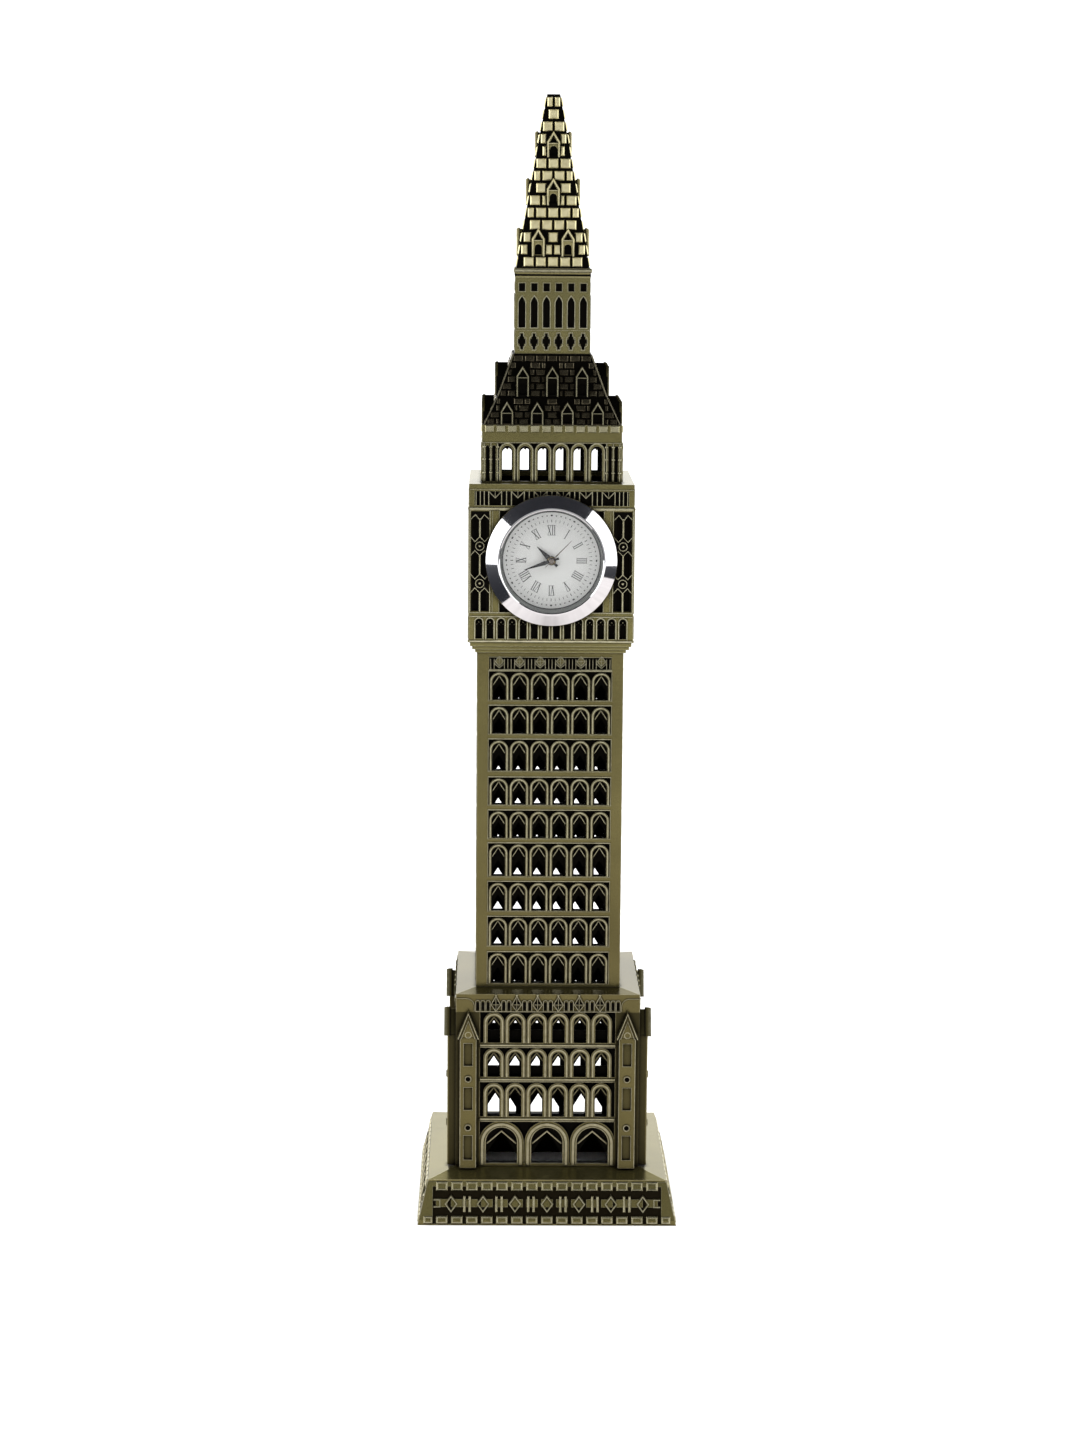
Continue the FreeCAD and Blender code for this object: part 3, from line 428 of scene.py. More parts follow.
# painted light: the brass brighter still for the lantern
LANTERN_PAINTED_LIGHT_TONES = ((0.30, 0.27, 0.115), (0.80, 0.76, 0.53), DARK_CORNER)
FOOT_TONES = ((0.24, 0.21, 0.08), (0.66, 0.62, 0.42), (0.016, 0.012, 0.005))
BRONZE_TONES = ((0.06, 0.046, 0.028), (0.34, 0.31, 0.20), (0.003, 0.0024, 0.0013))
GOLD_TONES = ((0.50, 0.44, 0.20), (0.90, 0.82, 0.50), DARK_CORNER)
BRASS = antiqued("antique_brass", *BRASS_TONES)
UPPER_PAINTED_LIGHT_BRASS = antiqued("antique_brass_upper_painted_light", *UPPER_PAINTED_LIGHT_TONES)
FOOT_BRASS = antiqued("antique_brass_foot", *FOOT_TONES)
LANTERN_PAINTED_LIGHT_BRASS = antiqued("antique_brass_lantern_painted_light", *LANTERN_PAINTED_LIGHT_TONES)
BRONZE = antiqued("roof_brown", *BRONZE_TONES)
GOLD = antiqued("spire_gold", *GOLD_TONES, metal=0.7)
CHROME = plain("chrome", (0.86, 0.86, 0.88), 1.0, 0.06, 1500.0, 0.002, 0.04)
STEEL = plain("satin_steel", (0.55, 0.55, 0.55), 1.0, 0.28)
DIAL = plain("dial_white", (0.655, 0.66, 0.64), 0.0, 0.6, 1800.0, 0.004, 0.03)
PRINT = plain("dial_print", (0.06, 0.06, 0.06), 0.0, 0.6, 2500.0, 0.002, 0.25)
HAND = plain("hand_black", (0.008, 0.007, 0.007), 0.0, 0.55, 2500.0, 0.002)
REHAUT = plain("rehaut_grey", (0.22, 0.23, 0.22), 0.5, 0.4)
COPPER = plain("copper", (0.42, 0.20, 0.11), 0.9, 0.3)
SECOND = plain("second_copper", (0.20, 0.17, 0.15), 0.7, 0.3)
RUBBER = plain("gasket", (0.02, 0.02, 0.02), 0.0, 0.6)
BLACK = plain("black_plastic", (0.025, 0.025, 0.028), 0.0, 0.5)
WHITE = plain("white_plastic", (0.72, 0.72, 0.69), 0.0, 0.4)
GREEN = plain("circuit_green", (0.03, 0.19, 0.08), 0.0, 0.35)
WHEEL = plain("wheel_brass", (0.62, 0.47, 0.20), 1.0, 0.25)
GLASS = plain("glass", (0.30, 0.31, 0.32), 0.0, 0.03, 900.0, 0.001, 0.02)
GLASS.node_tree.nodes["Principled BSDF"].inputs["Alpha"].default_value = 0.06

FINISHES = {"antique_brass": BRASS, "roof_brown": BRONZE, "spire_gold": GOLD, "chrome": CHROME,
            "glass": GLASS, "gasket": RUBBER, "satin_steel": STEEL, "dial_white": DIAL,
            "black_plastic": BLACK, "white_plastic": WHITE, "circuit_green": GREEN,
            "copper": COPPER, "hand_black": HAND, "second_copper": SECOND,
            "wheel_brass": WHEEL}


def outer_faces(z_low, half_low, z_high, half_high, depth, strip=None):
    """Where a storey's outer faces are, and how far behind them its dark ground begins."""
    return {"z_low": z_low, "half_low": half_low, "z_high": z_high, "half_high": half_high,
            "depth": depth, "strip": strip}


# painted shadow: the ground beside the piers kept darker, where their shadows fall
PIER_PAINTED_SHADOW_STRIP = {"near": 14.1, "far": 30.0, "foot": 10.0, "top": 43.3, "front": 20.5, "free_of_patina_and_shade": 0.4}
BESIDE_CLOCK = {"near": 12.6, "far": 16.3, "foot": 126.4, "top": 146.8, "front": 17.5, "free_of_patina_and_shade": 0.0}
STOREYS = {"plinth": (FOOT_TONES, outer_faces(0.3, 26.75, 8.7, 24.75, 0.35)),
           "lower_storey": (BRASS_TONES, outer_faces(10.0, 19.0, 46.9, 19.0, 0.5, PIER_PAINTED_SHADOW_STRIP)),
           "shaft": (BRASS_TONES, outer_faces(48.0, 14.92, 117.2, 14.92, 0.5)),
           "clock_stage": (UPPER_PAINTED_LIGHT_TONES, outer_faces(120.0, 16.72, 151.4, 16.72, 0.45, BESIDE_CLOCK)),
           "belfry": (UPPER_PAINTED_LIGHT_TONES, outer_faces(152.4, 14.15, 161.0, 14.15, 0.45)),
           "lower_roof": (BRONZE_TONES, outer_faces(164.3, 14.6, 169.5, 14.6, 0.3)),
           "upper_roof": (BRONZE_TONES, outer_faces(169.5, 12.0, 178.0, 12.0, 0.3)),
           "lantern": (LANTERN_PAINTED_LIGHT_TONES, outer_faces(178.4, 7.65, 193.0, 7.65, 0.3)),
           "spire": (GOLD_TONES, outer_faces(195.2, 7.7, 230.1, 1.7, 0.2))}
SUNK = {name: antiqued("castings_" + name, *tones, storey=faces)
        for name, (tones, faces) in STOREYS.items()}
for part in frame["record"]["subparts"]:
    casting = part["node"]
    for side, _ in SIDES:
        casting = casting.removesuffix("_" + side)
    for node_slot in bpy.data.objects[part["node"]].material_slots:
        node_slot.material = SUNK.get(casting, FINISHES[part["material_slot"]])


# ------------------------------------------------------------ raised work
def build_plinth():
    work = Relief(taper(0.0, face_of("plinth_front"), PLINTH_EDGE, PLINTH_EDGE_HALF))
    for low, high in ((0.3, 1.85), (6.95, 8.75)):
        for x in spaced(15, BRICK_PITCH):
            work.block(rectangle(x - 1.2, x + 1.2, low, high), -0.5, 0.22, 0.18, 0.12)
    for x in (-24.55, 24.55):
        work.block(rectangle(x - 0.95, x + 0.95, 0.3, 1.85), -0.5, 0.2, 0.18, 0.12)
    for sign in (-1, 1):
        work.ribbon([(sign * 23.4, 3.7), (sign * 22.1, 3.7), (sign * 22.1, 5.1),
                     (sign * 23.4, 5.1)], 0.4, -0.5, 0.15)
    # a plain row of lozenges and bars where such ornaments are lettered
    for i, x in enumerate(spaced(13, 3.3)):
        if i % 2:
            for shift in (-0.55, 0.55):
                work.block(rectangle(x + shift - 0.24, x + shift + 0.24, 2.7, 5.9), -0.5, 0.3, 0.12)
        else:
            lozenge = [(x - 1.15, 4.3), (x, 2.8), (x + 1.15, 4.3), (x, 5.8)]
            work.ribbon(lozenge, 0.42, -0.5, 0.3, True)
    four_sides(work, "plinth_brickwork", FOOT_BRASS)


def hanging_point(work, x, low, high, reach, width, base, top, wear):
    """Pair of straight bars that meet under the crown of an arch."""
    work.ribbon([(x - reach, low), (x, high), (x + reach, low)], width, base, top, wear=wear)


def build_lower_storey():
    work = Relief(LOWER_FACE)
    for low, high in LOWER_ROWS:
        for x in spaced(6, LOWER_BAY):
            work.ribbon(arch(x, low, high - 0.6, 1.75), 0.74, -0.9, 0.14, wear=0.8)
            hanging_point(work, x, high - 3.1, high - 1.35, 1.3, 0.4, -1.3, -0.75, 0.3)
        for drop, width, top, wear in ((0.5, 0.7, 0.3, 0.8), (0.95, 0.22, 0.12, WORN)):
            work.ribbon([(-LOWER_FIELD_HALF, low - drop), (LOWER_FIELD_HALF, low - drop)], width,
                        -0.3, top, wear=wear)
    for x in spaced(3, PORTAL_BAY):
        work.ribbon(arch(x, 10.6, 19.3, 4.0, 20), 1.2, -1.0, 0.2, wear=0.75)
        work.ribbon(arch(x, 10.6, 18.75, 3.4, 20), 0.22, -0.9, 0.05)
        hanging_point(work, x, 14.9, 17.6, 3.1, 0.5, -1.6, -0.75, 0.8)
    # fascia: small blind arches between six pointed lozenges
    lozenges = spaced(6, LOZENGE_BAY)
    for x in lozenges:
        work.ribbon([(x - 1.0, 44.9), (x, 43.55), (x + 1.0, 44.9), (x, 46.75)], 0.26, -0.1, 0.4,
                    True)
        work.ribbon([(x - 0.8, 44.9), (x + 0.8, 44.9)], 0.2, -0.4, 0.25)
        work.ribbon([(x, 43.7), (x, 46.5)], 0.2, -0.4, 0.25)
        work.boss(x, 46.9, 0.3, -0.1, 0.4)
    for x in spaced(28, 1.075):
        if min(abs(x - other) for other in lozenges) > 0.8:
            work.block(rectangle(x - 0.32, x + 0.32, 43.75, 45.35), -0.02, 0.03, 0.02, wear=DARK)
            work.ribbon(arch(x, 43.6, 45.85, 0.42, 8), 0.22, -0.1, 0.3)
    work.ribbon([(-15, 43.45), (15, 43.45)], 0.26, -0.2, 0.3)
    for sign in (-1, 1):
        shoulder = [(sign * (16.9 - 1.7 * math.cos(a)), 44.5 + 1.7 * math.sin(a))
                    for a in (math.pi / 2 * i / 8 for i in range(9))]
        work.ribbon([(sign * 15.2, 43.5)] + shoulder + [(sign * 18.9, 46.2)], 0.3, -0.1, 0.2,
                    wear=0.5)
    four_sides(work, "storey_arcades", BRASS)


def build_piers():
    pier = Relief(PIER_FACE)
    for sign in (-1, 1):
        x = sign * PIER_MIDDLE
        for low, high in ((12.2, 17.3), (22.9, 27.6), (32.3, 37.0)):
            pier.block(rectangle(x - 0.84, x + 0.84, low, high), -0.5, -0.42, 0.03,
                       wear=0.35 * DARK)
            pier.ribbon(rectangle(x - 0.95, x + 0.95, low - 0.1, high + 0.1), 0.18, -0.1, 0.08,
                        True, 0.7)
        for edge in (x - 1.62, x + 1.62):
            pier.ribbon([(edge, 10.5), (edge, 38.8)], 0.2, -0.1, 0.07)
        for z in (19.1, 29.5, 38.9):
            pier.ribbon(circle(x, z, 0.62), 0.34, -0.1, 0.32, True, 0.9)
            # painted shade: a dark disc in each ring stands in for a round hole
            pier.block(circle(x, z, 0.4, 10), -0.1, 0.04, 0.03, wear=DARK)
        pier.ribbon([(x - 2.1, 38.1), (x, 43.5), (x + 2.1, 38.1)], 0.42, -0.6, 0.75)
        pier.ribbon([(x - 1.45, 38.1), (x, 41.9), (x + 1.45, 38.1)], 0.34, -0.4, 0.5, wear=0.8)
    four_sides(pier, "pier_gables", BRASS)


def build_shaft():
    work = Relief(face_of("shaft_front"))
    ends = (-SHAFT_FIELD_HALF, SHAFT_FIELD_HALF)
    for low, high in SHAFT_ROWS:
        for x in spaced(6, SHAFT_BAY):
            work.ribbon(arch(x, low, high - 0.42, 1.68), 0.44, -0.85, 0.14)
            hanging_point(work, x, high - 2.9, high - 0.95, 1.25, 0.3, -1.0, -0.5, 0.85)
        # partly painted highlight: a bright rail over each row, where light catches the top edge of
        # the field
        work.ribbon([(x, high + 0.17) for x in ends], 0.3, -0.15, 0.15)
        work.ribbon([(x, low - 0.17) for x in ends], 0.2, -0.15, 0.06, wear=0.3)
        # partly painted highlight: bright uprights at both sides of the field, where light catches
        # its edges
        for x in (-12.62, 12.62):
            work.ribbon([(x, low - 0.2), (x, high + 0.2)], 0.2, -0.15, 0.1, wear=0.7)
    # frieze: a lozenge with a cross in it over each bay, between upright bars
    low, high = 114.3, 116.7
    for x in spaced(6, SHAFT_BAY):
        for shift in (-1.75, -1.05, 1.05, 1.75):
            work.ribbon([(x + shift, low), (x + shift, high - 0.35)], 0.2, -0.85, 0.1)
        hanging_point(work, x, low + 1.15, low + 0.25, 1.0, 0.2, -0.85, 0.1, WORN)
        work.ribbon([(x - 0.85, 115.95), (x, 115.0), (x + 0.85, 115.95), (x, 117.0)], 0.2,
                    -0.85, 0.14, True)
        work.ribbon([(x, 115.1), (x, 116.9)], 0.16, -0.6, 0.1)
        work.ribbon([(x - 0.75, 115.95), (x + 0.75, 115.95)], 0.16, -0.6, 0.1)
    work.ribbon([(x, low - 0.12) for x in ends], 0.24, -0.15, 0.12)
    work.ribbon([(x, high + 0.1) for x in ends], 0.2, -0.15, 0.1, wear=0.6)
    four_sides(work, "shaft_tracery", BRASS)


def build_clock_stage():
    work = Relief(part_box("clock_stage_right")[1][0] / MM)
    # sill and string courses
    for z, width, top, wear in ((120.3, 0.55, 0.22, WORN), (125.35, 0.3, 0.18, WORN),
                                (126.15, 0.3, 0.15, 0.8), (147.3, 0.75, 0.22, 0.85),
                                (151.2, 0.25, 0.15, 0.6)):
        work.ribbon([(-STAGE_HALF, z), (STAGE_HALF, z)], width, -0.15, top, wear=wear)
    # dado: an arcade with a drop in the crown of each arch
    for x in spaced(14, STAGE_BAY):
        work.ribbon(arch(x, 120.7, 125.1, 0.86), 0.34, -0.6, 0.2)
        work.boss(x, 124.2, 0.27, -0.75, 0.0)
        for shift in (-0.42, 0.42):
            work.boss(x + shift, 123.75, 0.17, -0.75, -0.1)
    # frieze: six chevrons in frames, with single bars between and three at each end
    low, high = 147.95, 150.85
    frames = spaced(6, CHEVRON_BAY)
    bars = [x + shift for x in frames for shift in (-1.3, 1.3)]
    bars += spaced(5, CHEVRON_BAY) + [sign * x for sign in (-1, 1) for x in (13.65, 14.45, 15.3)]
    for x in bars:
        work.ribbon([(x, low), (x, high)], 0.3, -0.7, 0.12)
    for x in frames:
        work.ribbon([(x - 1.25, high - 0.1), (x, high - 1.35), (x + 1.25, high - 0.1)], 0.26,
                    -0.7, 0.1)
        work.ribbon([(x, high - 1.2), (x, high)], 0.18, -0.7, 0.0, wear=0.7)
    # tall side panels: a stile that opens round two bosses
    for sign in (-1, 1):
        x = sign * 14.5
        for edge in (12.45, 16.5):
            work.ribbon([(sign * edge, 126.2), (sign * edge, 147.0)], 0.3, -0.7, 0.16)
        for first, second in ((126.3, 130.3), (134.0, 137.9), (141.5, 145.3)):
            work.ribbon([(x, first), (x, second)], 0.62, -0.7, 0.1, wear=0.8)
        for z in (132.1, 139.7):
            work.ribbon(circle(x, z, 0.85), 0.24, -0.7, 0.12, True)
            work.boss(x, z, 0.42, -0.7, 0.2)
            for way in (-1, 1):
                for up in (-1, 1):
                    work.ribbon([(x, z + up * 1.9), (x + way * 1.0, z + up * 0.9),
                                 (x + way * 1.85, z + up * 1.9)], 0.24, -0.7, 0.06)
        for way in (-1, 1):
            work.ribbon([(x, 144.9), (x + way * 0.9, 146.1), (x + way * 1.8, 145.2)], 0.26,
                        -0.7, 0.1)
        for edge in (10.6, 11.95):
            work.ribbon([(sign * edge, 126.3), (sign * edge, 146.9)], 0.2, -0.3, 0.1, wear=0.6)
    four_sides(work, "clock_stage_tracery", UPPER_PAINTED_LIGHT_BRASS)


def build_cast_dials():
    """The faces without a clock have a cast rose of rings and spokes in the round panel."""
    rose = Relief(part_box("clock_stage_right")[1][0] / MM)
    height = (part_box("dial")[0][2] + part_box("dial")[1][2]) / 2 / MM
    for radius, width in ((11.3, 0.7), (8.7, 0.35), (5.2, 0.3), (2.0, 0.5)):
        rose.ribbon(circle(0, height, radius, 64), width, -0.75, -0.15, True)
    for i in range(36):
        angle = math.radians(10 * i)
        sine, cosine = math.sin(angle), math.cos(angle)
        inner, outer, width = (2.2, 5.1, 0.2) if i % 3 else (5.4, 11.0, 0.55)
        rose.ribbon([(inner * sine, height + inner * cosine),
                     (outer * sine, height + outer * cosine)], width, -0.75, -0.3)
    rose.boss(0, height, 0.9, -0.75, -0.1)
    four_sides(rose, "cast_rose", UPPER_PAINTED_LIGHT_BRASS, SIDES[1:])


def build_belfry():
    work = Relief(face_of("belfry_front"))
    low, high = 152.6, 160.3
    for x in spaced(6, BELFRY_BAY):
        work.ribbon(arch(x, low, high, 1.5), 0.5, -0.65, 0.16, wear=0.85)
        work.boss(x, high - 1.1, 0.24, -0.9, -0.3)
    for sign in (-1, 1):
        for x in (11.05, 12.38, 13.7):
            work.ribbon([(sign * x, low), (sign * x, high)], 0.42, -0.65, 0.24, wear=0.85)
            for z in (154.4, 157.1, 159.6):
                work.block(rectangle(sign * x - 0.3, sign * x + 0.3, z - 0.2, z + 0.2), -0.3,
                           0.32, 0.1)
    work.ribbon([(-14.1, 160.45), (14.1, 160.45)], 0.25, -0.15, 0.18, wear=0.8)
    for x in spaced(12, 2.3):
        work.block(rectangle(x - 0.92, x + 0.92, 162.55, 163.95), -0.15, 0.2, 0.14, wear=0.7)
    four_sides(work, "belfry_arcade", UPPER_PAINTED_LIGHT_BRASS)


def bricks(work, half_at, course_low, courses, pitch, rise, gaps, proud, bevel, wear, last=0):
    """Courses of pillow-shaped bricks in half bond, left out of the gaps (x, z low, z high)."""
    brick_share, half_brick, half_gap, least = 0.76, 0.4 * pitch, 1.45, 0.5
    for k in range(courses):
        low = course_low + k * rise
        high = low + brick_share * rise
        edge = half_at(high) - 0.15
        count = int(2 * edge / pitch) + 2
        for x in spaced(count + (count + k + last) % 2, pitch):
            left, right = max(x - half_brick, -edge), min(x + half_brick, edge)
            for gap_x, gap_low, gap_high in gaps:
                if low < gap_high and high > gap_low:
                    if gap_x - half_gap < left < gap_x + half_gap:
                        left = gap_x + half_gap
                    if gap_x - half_gap < right < gap_x + half_gap:
                        right = gap_x - half_gap
            if right - left > least:
                work.block(rectangle(left, right, low, high), -0.3, proud, bevel, wear=wear)


def dormer_frame(work, x, low, peak, width=0.42, proud=0.3):
    """Pointed frame with a bar across it."""
    eaves = peak - 2.0
    work.ribbon([(x - 1.1, low), (x - 1.1, eaves), (x, peak - 0.25), (x + 1.1, eaves),
                 (x + 1.1, low)], width, -0.4, proud)
    work.ribbon([(x - 0.95, eaves - 0.25), (x + 0.95, eaves - 0.25)], 0.28, -0.6, proud - 0.1)


def build_roof_tier(name, low, high, wide, narrow, places, face, peak, sill):
    """Tiles in courses, rolls down the hips, and a rank of dormers."""
    half_at = taper(low, wide, high, narrow)
    tiles = Relief(half_at)
    gaps = [(x, low, peak) for x in places]
    courses = int((high - low) / 1.35)
    bricks(tiles, half_at, low + 0.15, courses, 2.3, (high - low - 0.2) / courses, gaps,
           0.14, 0.12, 0.35)
    for sign in (-1, 1):
        tiles.ribbon([(sign * (half_at(low) - 0.12), low + 0.1),
                      (sign * (half_at(high) - 0.12), high - 0.1)], 0.3, -0.2, 0.15, wear=0.8)
    four_sides(tiles, name + "_tiles", BRONZE)
    frames = Relief(face)
    for x in places:
        dormer_frame(frames, x, sill, peak)
    four_sides(frames, name + "_dormers", BRASS)


def build_roofs():
    build_roof_tier("lower_roof", low=164.0, high=169.5, wide=13.75, narrow=11.2,
                    places=spaced(4, 6.1), face=14.0, peak=168.6, sill=164.1)
    build_roof_tier("upper_roof", low=169.5, high=178.0, wide=11.05, narrow=7.95,
                    places=spaced(3, 6.0), face=11.35, peak=175.6, sill=169.6)


def build_lantern():
    work = Relief(face_of("lantern"))
    for x in spaced(6, LANTERN_BAY):
        work.ribbon(lancet(x, 183.2, 189.7, 0.78), 0.28, -0.4, 0.12, True)
        work.ribbon(rectangle(x - 0.72, x + 0.72, 190.5, 192.3), 0.16, -0.3, 0.06, True, 0.7)
        outline = [(x - 0.35, 178.7), (x + 0.35, 178.7), (x + 0.35, 179.4), (x + 0.85, 179.7),
                   (x + 0.85, 181.3), (x + 0.35, 181.6), (x + 0.35, 182.3), (x - 0.35, 182.3),
                   (x - 0.35, 181.6), (x - 0.85, 181.3), (x - 0.85, 179.7), (x - 0.35, 179.4)]
        work.ribbon(outline, 0.2, -0.4, 0.1, True)
    work.ribbon([(-7.6, 182.75), (7.6, 182.75)], 0.2, -0.1, 0.08, wear=0.5)
    four_sides(work, "lantern_windows", LANTERN_PAINTED_LIGHT_BRASS)


def build_spire():
    half_at = taper(SPIRE_FOOT, SPIRE_HALF_LOW, top_of("spire"), SPIRE_HALF_HIGH)
    # face, places across it, foot and peak of each rank of dormers
    ranks = ((7.07, (-3.0, 3.0), 197.6, 203.0), (5.25, (0.0,), 207.8, 213.0),
             (3.45, (0.0,), 217.4, 222.4))
    stones = Relief(half_at)
    gaps = [(x, foot, peak - 0.9) for _, places, foot, peak in ranks for x in places]
    bricks(stones, half_at, 195.55, 14, 2.46, 2.46, gaps, 0.3, 0.22, WORN, 1)
    four_sides(stones, "spire_stones", GOLD)
    for number, (face, places, foot, peak) in enumerate(ranks, start=1):
        frames = Relief(face)
        for x in places:
            dormer_frame(frames, x, foot, peak, 0.5)
        four_sides(frames, "spire_dormers_%d" % number, GOLD)
    string = Relief(7.7)
    string.ribbon([(-7.9, 194.75), (7.9, 194.75)], 0.8, -0.2, 0.25)
    string.ribbon([(-7.7, 193.85), (7.7, 193.85)], 0.7, -0.2, 0.03, wear=DARK)
    four_sides(string, "spire_string_course", UPPER_PAINTED_LIGHT_BRASS)


# ------------------------------------------------------------------ clock
CENTRE = Vector((0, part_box("dial")[0][1], (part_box("dial")[0][2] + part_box("dial")[1][2]) / 2))
NUMERALS = ["XII", "I", "II", "III", "IIII", "V", "VI", "VII", "VIII", "IX", "X", "XI"]
STROKES = {"I": [((0.25, 0), (0.25, 1), 0.15)],
           "V": [((0.0, 1), (0.32, 0), 0.17), ((0.64, 1), (0.32, 0), 0.08)],
           "X": [((0.0, 1), (0.64, 0), 0.17), ((0.64, 1), (0.0, 0), 0.08)]}
ADVANCE = {"I": 0.42, "V": 0.7, "X": 0.74}
# radii on the dial, in mm
DOT_FOOT, DOT_TOP, FIFTH_DOT_TOP = 9.0, 9.2, 9.3
TICK_FOOT, TICK_TOP = 7.75, 8.3
NUMERAL_FOOT, NUMERAL_HEIGHT, NUMERAL_TOP = 5.15, 2.0, 7.15
PRINT_PROUD = 0.03


def build_dial_print():
    """Minute dots, five-minute ticks and Roman numerals, a few hundredths proud of the dial."""
    points, faces = [], []

    def bar(x1, z1, x2, z2, width):
        along = Vector((x2 - x1, z2 - z1)).normalized() * width / 2
        side = Vector((-along.y, along.x))
        start = len(points)
        for forward in (0.0, PRINT_PROUD):
            for x, z in ((x1 + side.x, z1 + side.y), (x1 - side.x, z1 - side.y),
                         (x2 - side.x, z2 - side.y), (x2 + side.x, z2 + side.y)):
                points.append(CENTRE + Vector((x, -forward, z)) * MM)
        faces.append(tuple(start + i for i in (4, 5, 6, 7)))
        for i in range(4):
            j = (i + 1) % 4
            faces.append((start + i, start + j, start + 4 + j, start + 4 + i))

    def radial(angle, inner, outer, width):
        sine, cosine = math.sin(angle), math.cos(angle)
        bar(inner * sine, inner * cosine, outer * sine, outer * cosine, width)

    for minute in range(60):
        angle = math.radians(6 * minute)
        fifth = minute % 5 == 0
        radial(angle, DOT_FOOT, FIFTH_DOT_TOP if fifth else DOT_TOP, 0.42 if fifth else 0.28)
        radial(angle, TICK_FOOT, TICK_TOP, 0.14 if fifth else 0.09)
    for hour, numeral in enumerate(NUMERALS):
        angle = math.radians(30 * hour)
        sine, cosine = math.sin(angle), math.cos(angle)
        span = sum(ADVANCE[letter] for letter in numeral) / 2
        cursor = -span
        for letter in numeral:
            for (x1, z1), (x2, z2), width in STROKES[letter]:
                ends = [(cursor + x, NUMERAL_FOOT + NUMERAL_HEIGHT * z)
                        for x, z in ((x1, z1), (x2, z2))]
                first, last = [(x * cosine + z * sine, z * cosine - x * sine) for x, z in ends]
                bar(*first, *last, width)
            cursor += ADVANCE[letter]
        # a fine line along the feet and one along the heads of the strokes
        for z in (NUMERAL_FOOT, NUMERAL_TOP):
            bar(-span * cosine + z * sine, z * cosine + span * sine,
                span * cosine + z * sine, z * cosine - span * sine, 0.07)
    mesh = bpy.data.meshes.new("dial_print")
    mesh.from_pydata(points, [], faces)
    mesh.materials.append(PRINT)
    piece = bpy.data.objects.new("dial_print", mesh)
    bpy.context.scene.collection.objects.link(piece)
    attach(piece, "clock_insert")


def build_clock():
    build_dial_print()
    # flat cone between a rounded rim and a rounded lip, whose close points keep it flat
    bezel = lathe([(13.35, 0.05), (13.35, 1.0), (13.3, 1.13), (13.22, 1.23), (13.17, 1.27),
                   (11.03, 2.88), (10.98, 2.92), (10.85, 3.0), (10.6, 3.03), (10.45, 2.93),
                   (10.42, 2.3), (10.9, 1.2)],
                  "polished_bezel", CENTRE, CHROME, "clock_insert", 160)
    # painted shadow: a thin black ring on the dial's edge, where the inner ring's step throws its
    # shadow
    lathe([(9.8, 0.0), (9.8, 0.04), (10.0, 0.04), (10.0, 0.0)], "dial_edge_painted_shadow", CENTRE, PRINT,
          "clock_insert", 128)
    bpy.data.objects["inner_ring"].material_slots[0].material = REHAUT
    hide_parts("clock_bezel")
    lathe([(0.02, 1.0), (0.5, 1.0), (0.52, 1.22), (0.4, 1.3), (0.02, 1.32)], "hand_cap", CENTRE,
          SECOND, "second_hand", 32)


build_plinth()
build_lower_storey()
build_piers()
build_shaft()
build_clock_stage()
build_cast_dials()
build_belfry()
build_roofs()
build_lantern()
build_spire()
build_clock()


# ------------------------------------------------------- floor, light, camera
def build_floor():
    material, tree, shader = new_material("studio_floor")
    grain = noise(tree, 8.0)
    tree.links.new(mix(tree, grain, (0.86, 0.86, 0.86), (0.84, 0.84, 0.84)),
                   shader.inputs["Base Color"])
    shader.inputs["Roughness"].default_value = 0.7
    mesh = bpy.data.meshes.new("floor")
    half = 0.9
    mesh.from_pydata([(-half, -half, 0), (half, -half, 0), (half, half, 0), (-half, half, 0)],
                     [], [(0, 1, 2, 3)])
    mesh.materials.append(material)
    floor = bpy.data.objects.new("floor", mesh)
    bpy.context.scene.collection.objects.link(floor)


def softbox(name, place, size, power, aim):
    """Area light of a given width and height, turned towards a point."""
    light = bpy.data.lights.new(name, "AREA")
    light.shape = "RECTANGLE"
    light.size, light.size_y = size
    light.energy = power
    lamp = bpy.data.objects.new(name, light)
    lamp.location = place
    lamp.rotation_mode = "QUATERNION"
    lamp.rotation_quaternion = (Vector(aim) - lamp.location).to_track_quat("-Z", "Y")
    bpy.context.scene.collection.objects.link(lamp)
    return lamp


CAMERA_PLACE = (-0.01176, -0.6554, 0.2102)
CAMERA_TILT, CAMERA_TURN, CAMERA_ROLL = 9.43, 0.87, 0.44     # degrees
CAMERA_LENS, CAMERA_SENSOR = 79.3, 36.0                      # mm


def build_camera():
    """Slightly above the clock, turned a little to the right of square-on."""
    tilt, turn, roll = [math.radians(a) for a in (CAMERA_TILT, CAMERA_TURN, CAMERA_ROLL)]
    forward = Vector((math.sin(turn) * math.cos(tilt), math.cos(turn) * math.cos(tilt),
                      -math.sin(tilt)))
    right = forward.cross(Vector((0, 0, 1))).normalized()
    up = right.cross(forward)
    up = math.cos(roll) * up - math.sin(roll) * right
    right = forward.cross(up)
    data = bpy.data.cameras.new("camera")
    data.lens, data.sensor_width = CAMERA_LENS, CAMERA_SENSOR
    camera = bpy.data.objects.new("camera", data)
    camera.matrix_world = Matrix([(right[i], up[i], -forward[i], place) for i, place in
                                  enumerate(CAMERA_PLACE)] + [(0, 0, 0, 1)])
    bpy.context.scene.collection.objects.link(camera)
    bpy.context.scene.camera = camera


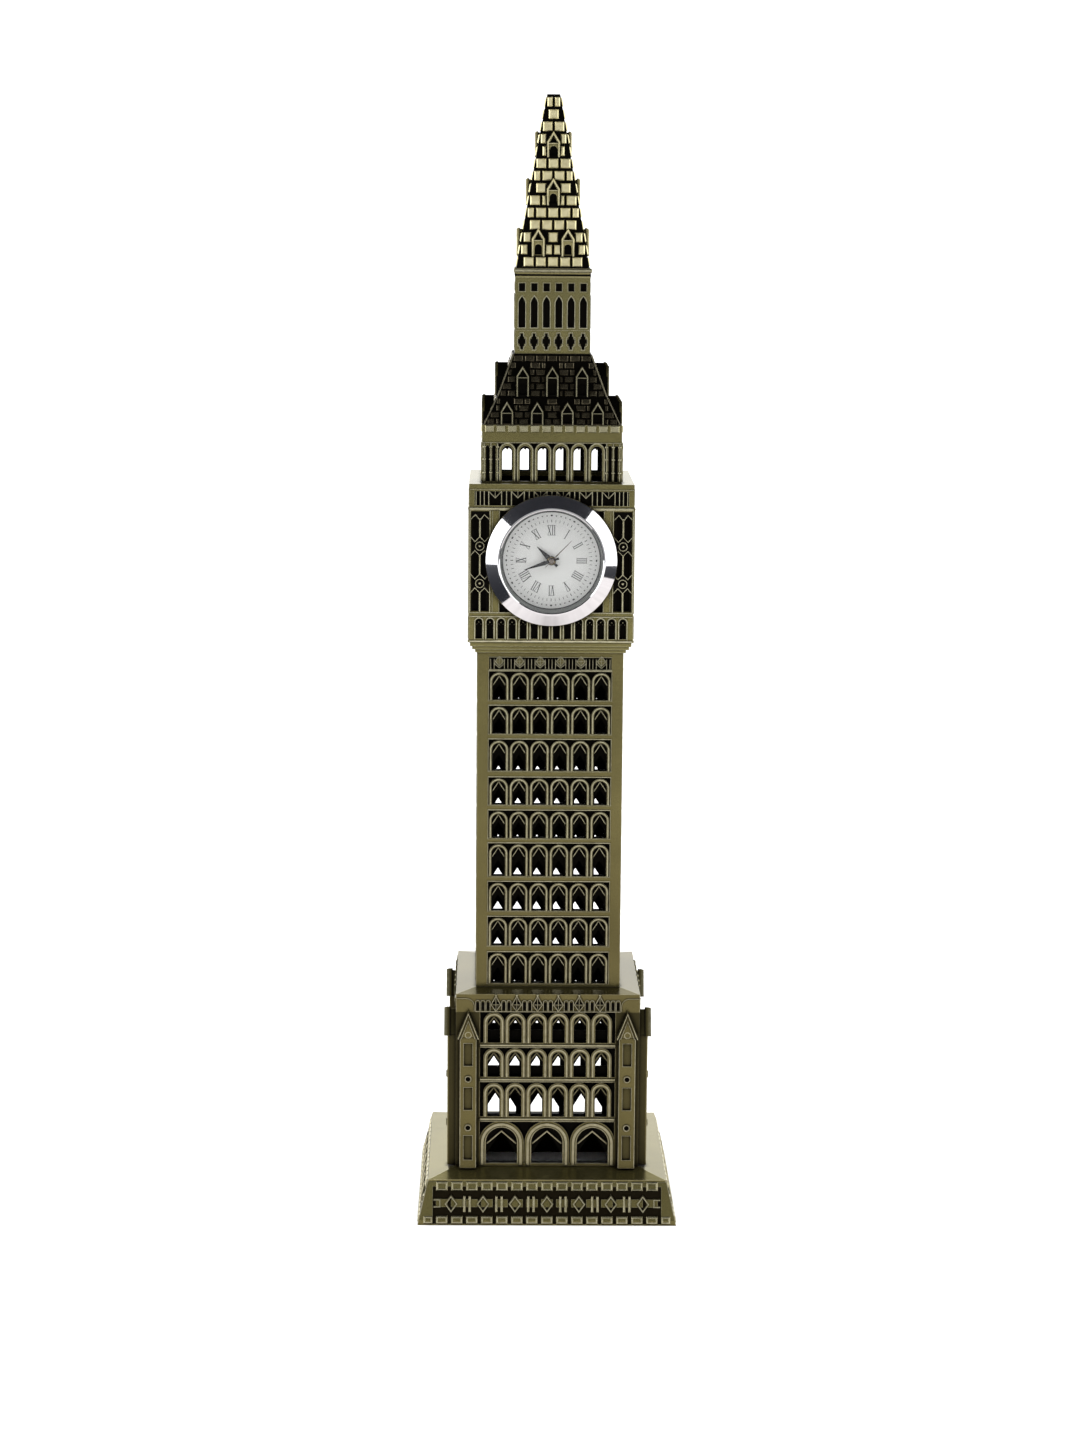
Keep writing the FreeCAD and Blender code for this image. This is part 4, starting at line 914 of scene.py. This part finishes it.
def flag(name, left, right, front, back, height, tone):
    """Level card that only the polished and plated surfaces see."""
    material, tree, shader = new_material(name)
    weave = noise(tree, 60.0)
    tree.links.new(mix(tree, weave, tone, tuple(1.5 * c for c in tone)),
                   shader.inputs["Base Color"])
    corners = [(left, front, height), (right, front, height), (right, back, height),
               (left, back, height)]
    shader.inputs["Roughness"].default_value = 1.0
    mesh = bpy.data.meshes.new(name)
    mesh.from_pydata(corners, [], [(0, 1, 2, 3)])
    mesh.materials.append(material)
    card = bpy.data.objects.new(name, mesh)
    bpy.context.scene.collection.objects.link(card)
    card.visible_camera = card.visible_diffuse = card.visible_shadow = False


def build_world():
    """White to the camera, dimmer as a light so that the plated work keeps its depth."""
    world = bpy.data.worlds.new("studio")
    world.use_nodes = True
    tree = world.node_tree
    seen = tree.nodes.new("ShaderNodeLightPath")
    where = tree.nodes.new("ShaderNodeTexCoord")
    axes = tree.nodes.new("ShaderNodeSeparateXYZ")
    tree.links.new(where.outputs["Generated"], axes.inputs[0])
    # how far round to the back the light from the world starts to rise, and is at its full
    rise_from, full_from, dimmest, full_strength = 0.2, 0.8, 0.24, 1.6
    level = maths(tree, "MAXIMUM", seen.outputs["Is Camera Ray"],
                  remap(tree, axes.outputs["Y"], rise_from, full_from, dimmest, 1.0))
    background = tree.nodes["Background"]
    background.inputs["Color"].default_value = (1, 1, 1, 1)
    tree.links.new(remap(tree, level, 0.0, 1.0, 0.0, full_strength), background.inputs["Strength"])
    bpy.context.scene.world = world


build_floor()
build_world()
softbox("left_softbox", (-0.8, -0.15, 0.37), (1.0, 0.72), 5.0, (0, -0.15, 0.37))
softbox("right_softbox", (0.8, -0.15, 0.5), (1.0, 0.98), 5.0, (0, -0.15, 0.5))
softbox("floor_wash", (0.0, 0.1, 1.5), (3.0, 3.0), 62.0, (0.0, 0.1, 0.0)).visible_glossy = False
NAVY, PINK_GREY = (0.003, 0.0035, 0.006), (0.40, 0.378, 0.372)
FLOOR_CARD = {"front": -0.4, "back": 0.15, "height": 0.001}
flag("overhead_flag", -0.8, 0.555, -0.8, 0.6, 0.72, NAVY)
flag("left_floor_flag", -0.8, -0.13, tone=NAVY, **FLOOR_CARD)
flag("right_floor_flag", 0.34, 0.75, tone=NAVY, **FLOOR_CARD)
flag("bounce_card", -0.13, 0.34, tone=PINK_GREY, **FLOOR_CARD)
build_camera()
bpy.context.scene.view_settings.view_transform = "Standard"
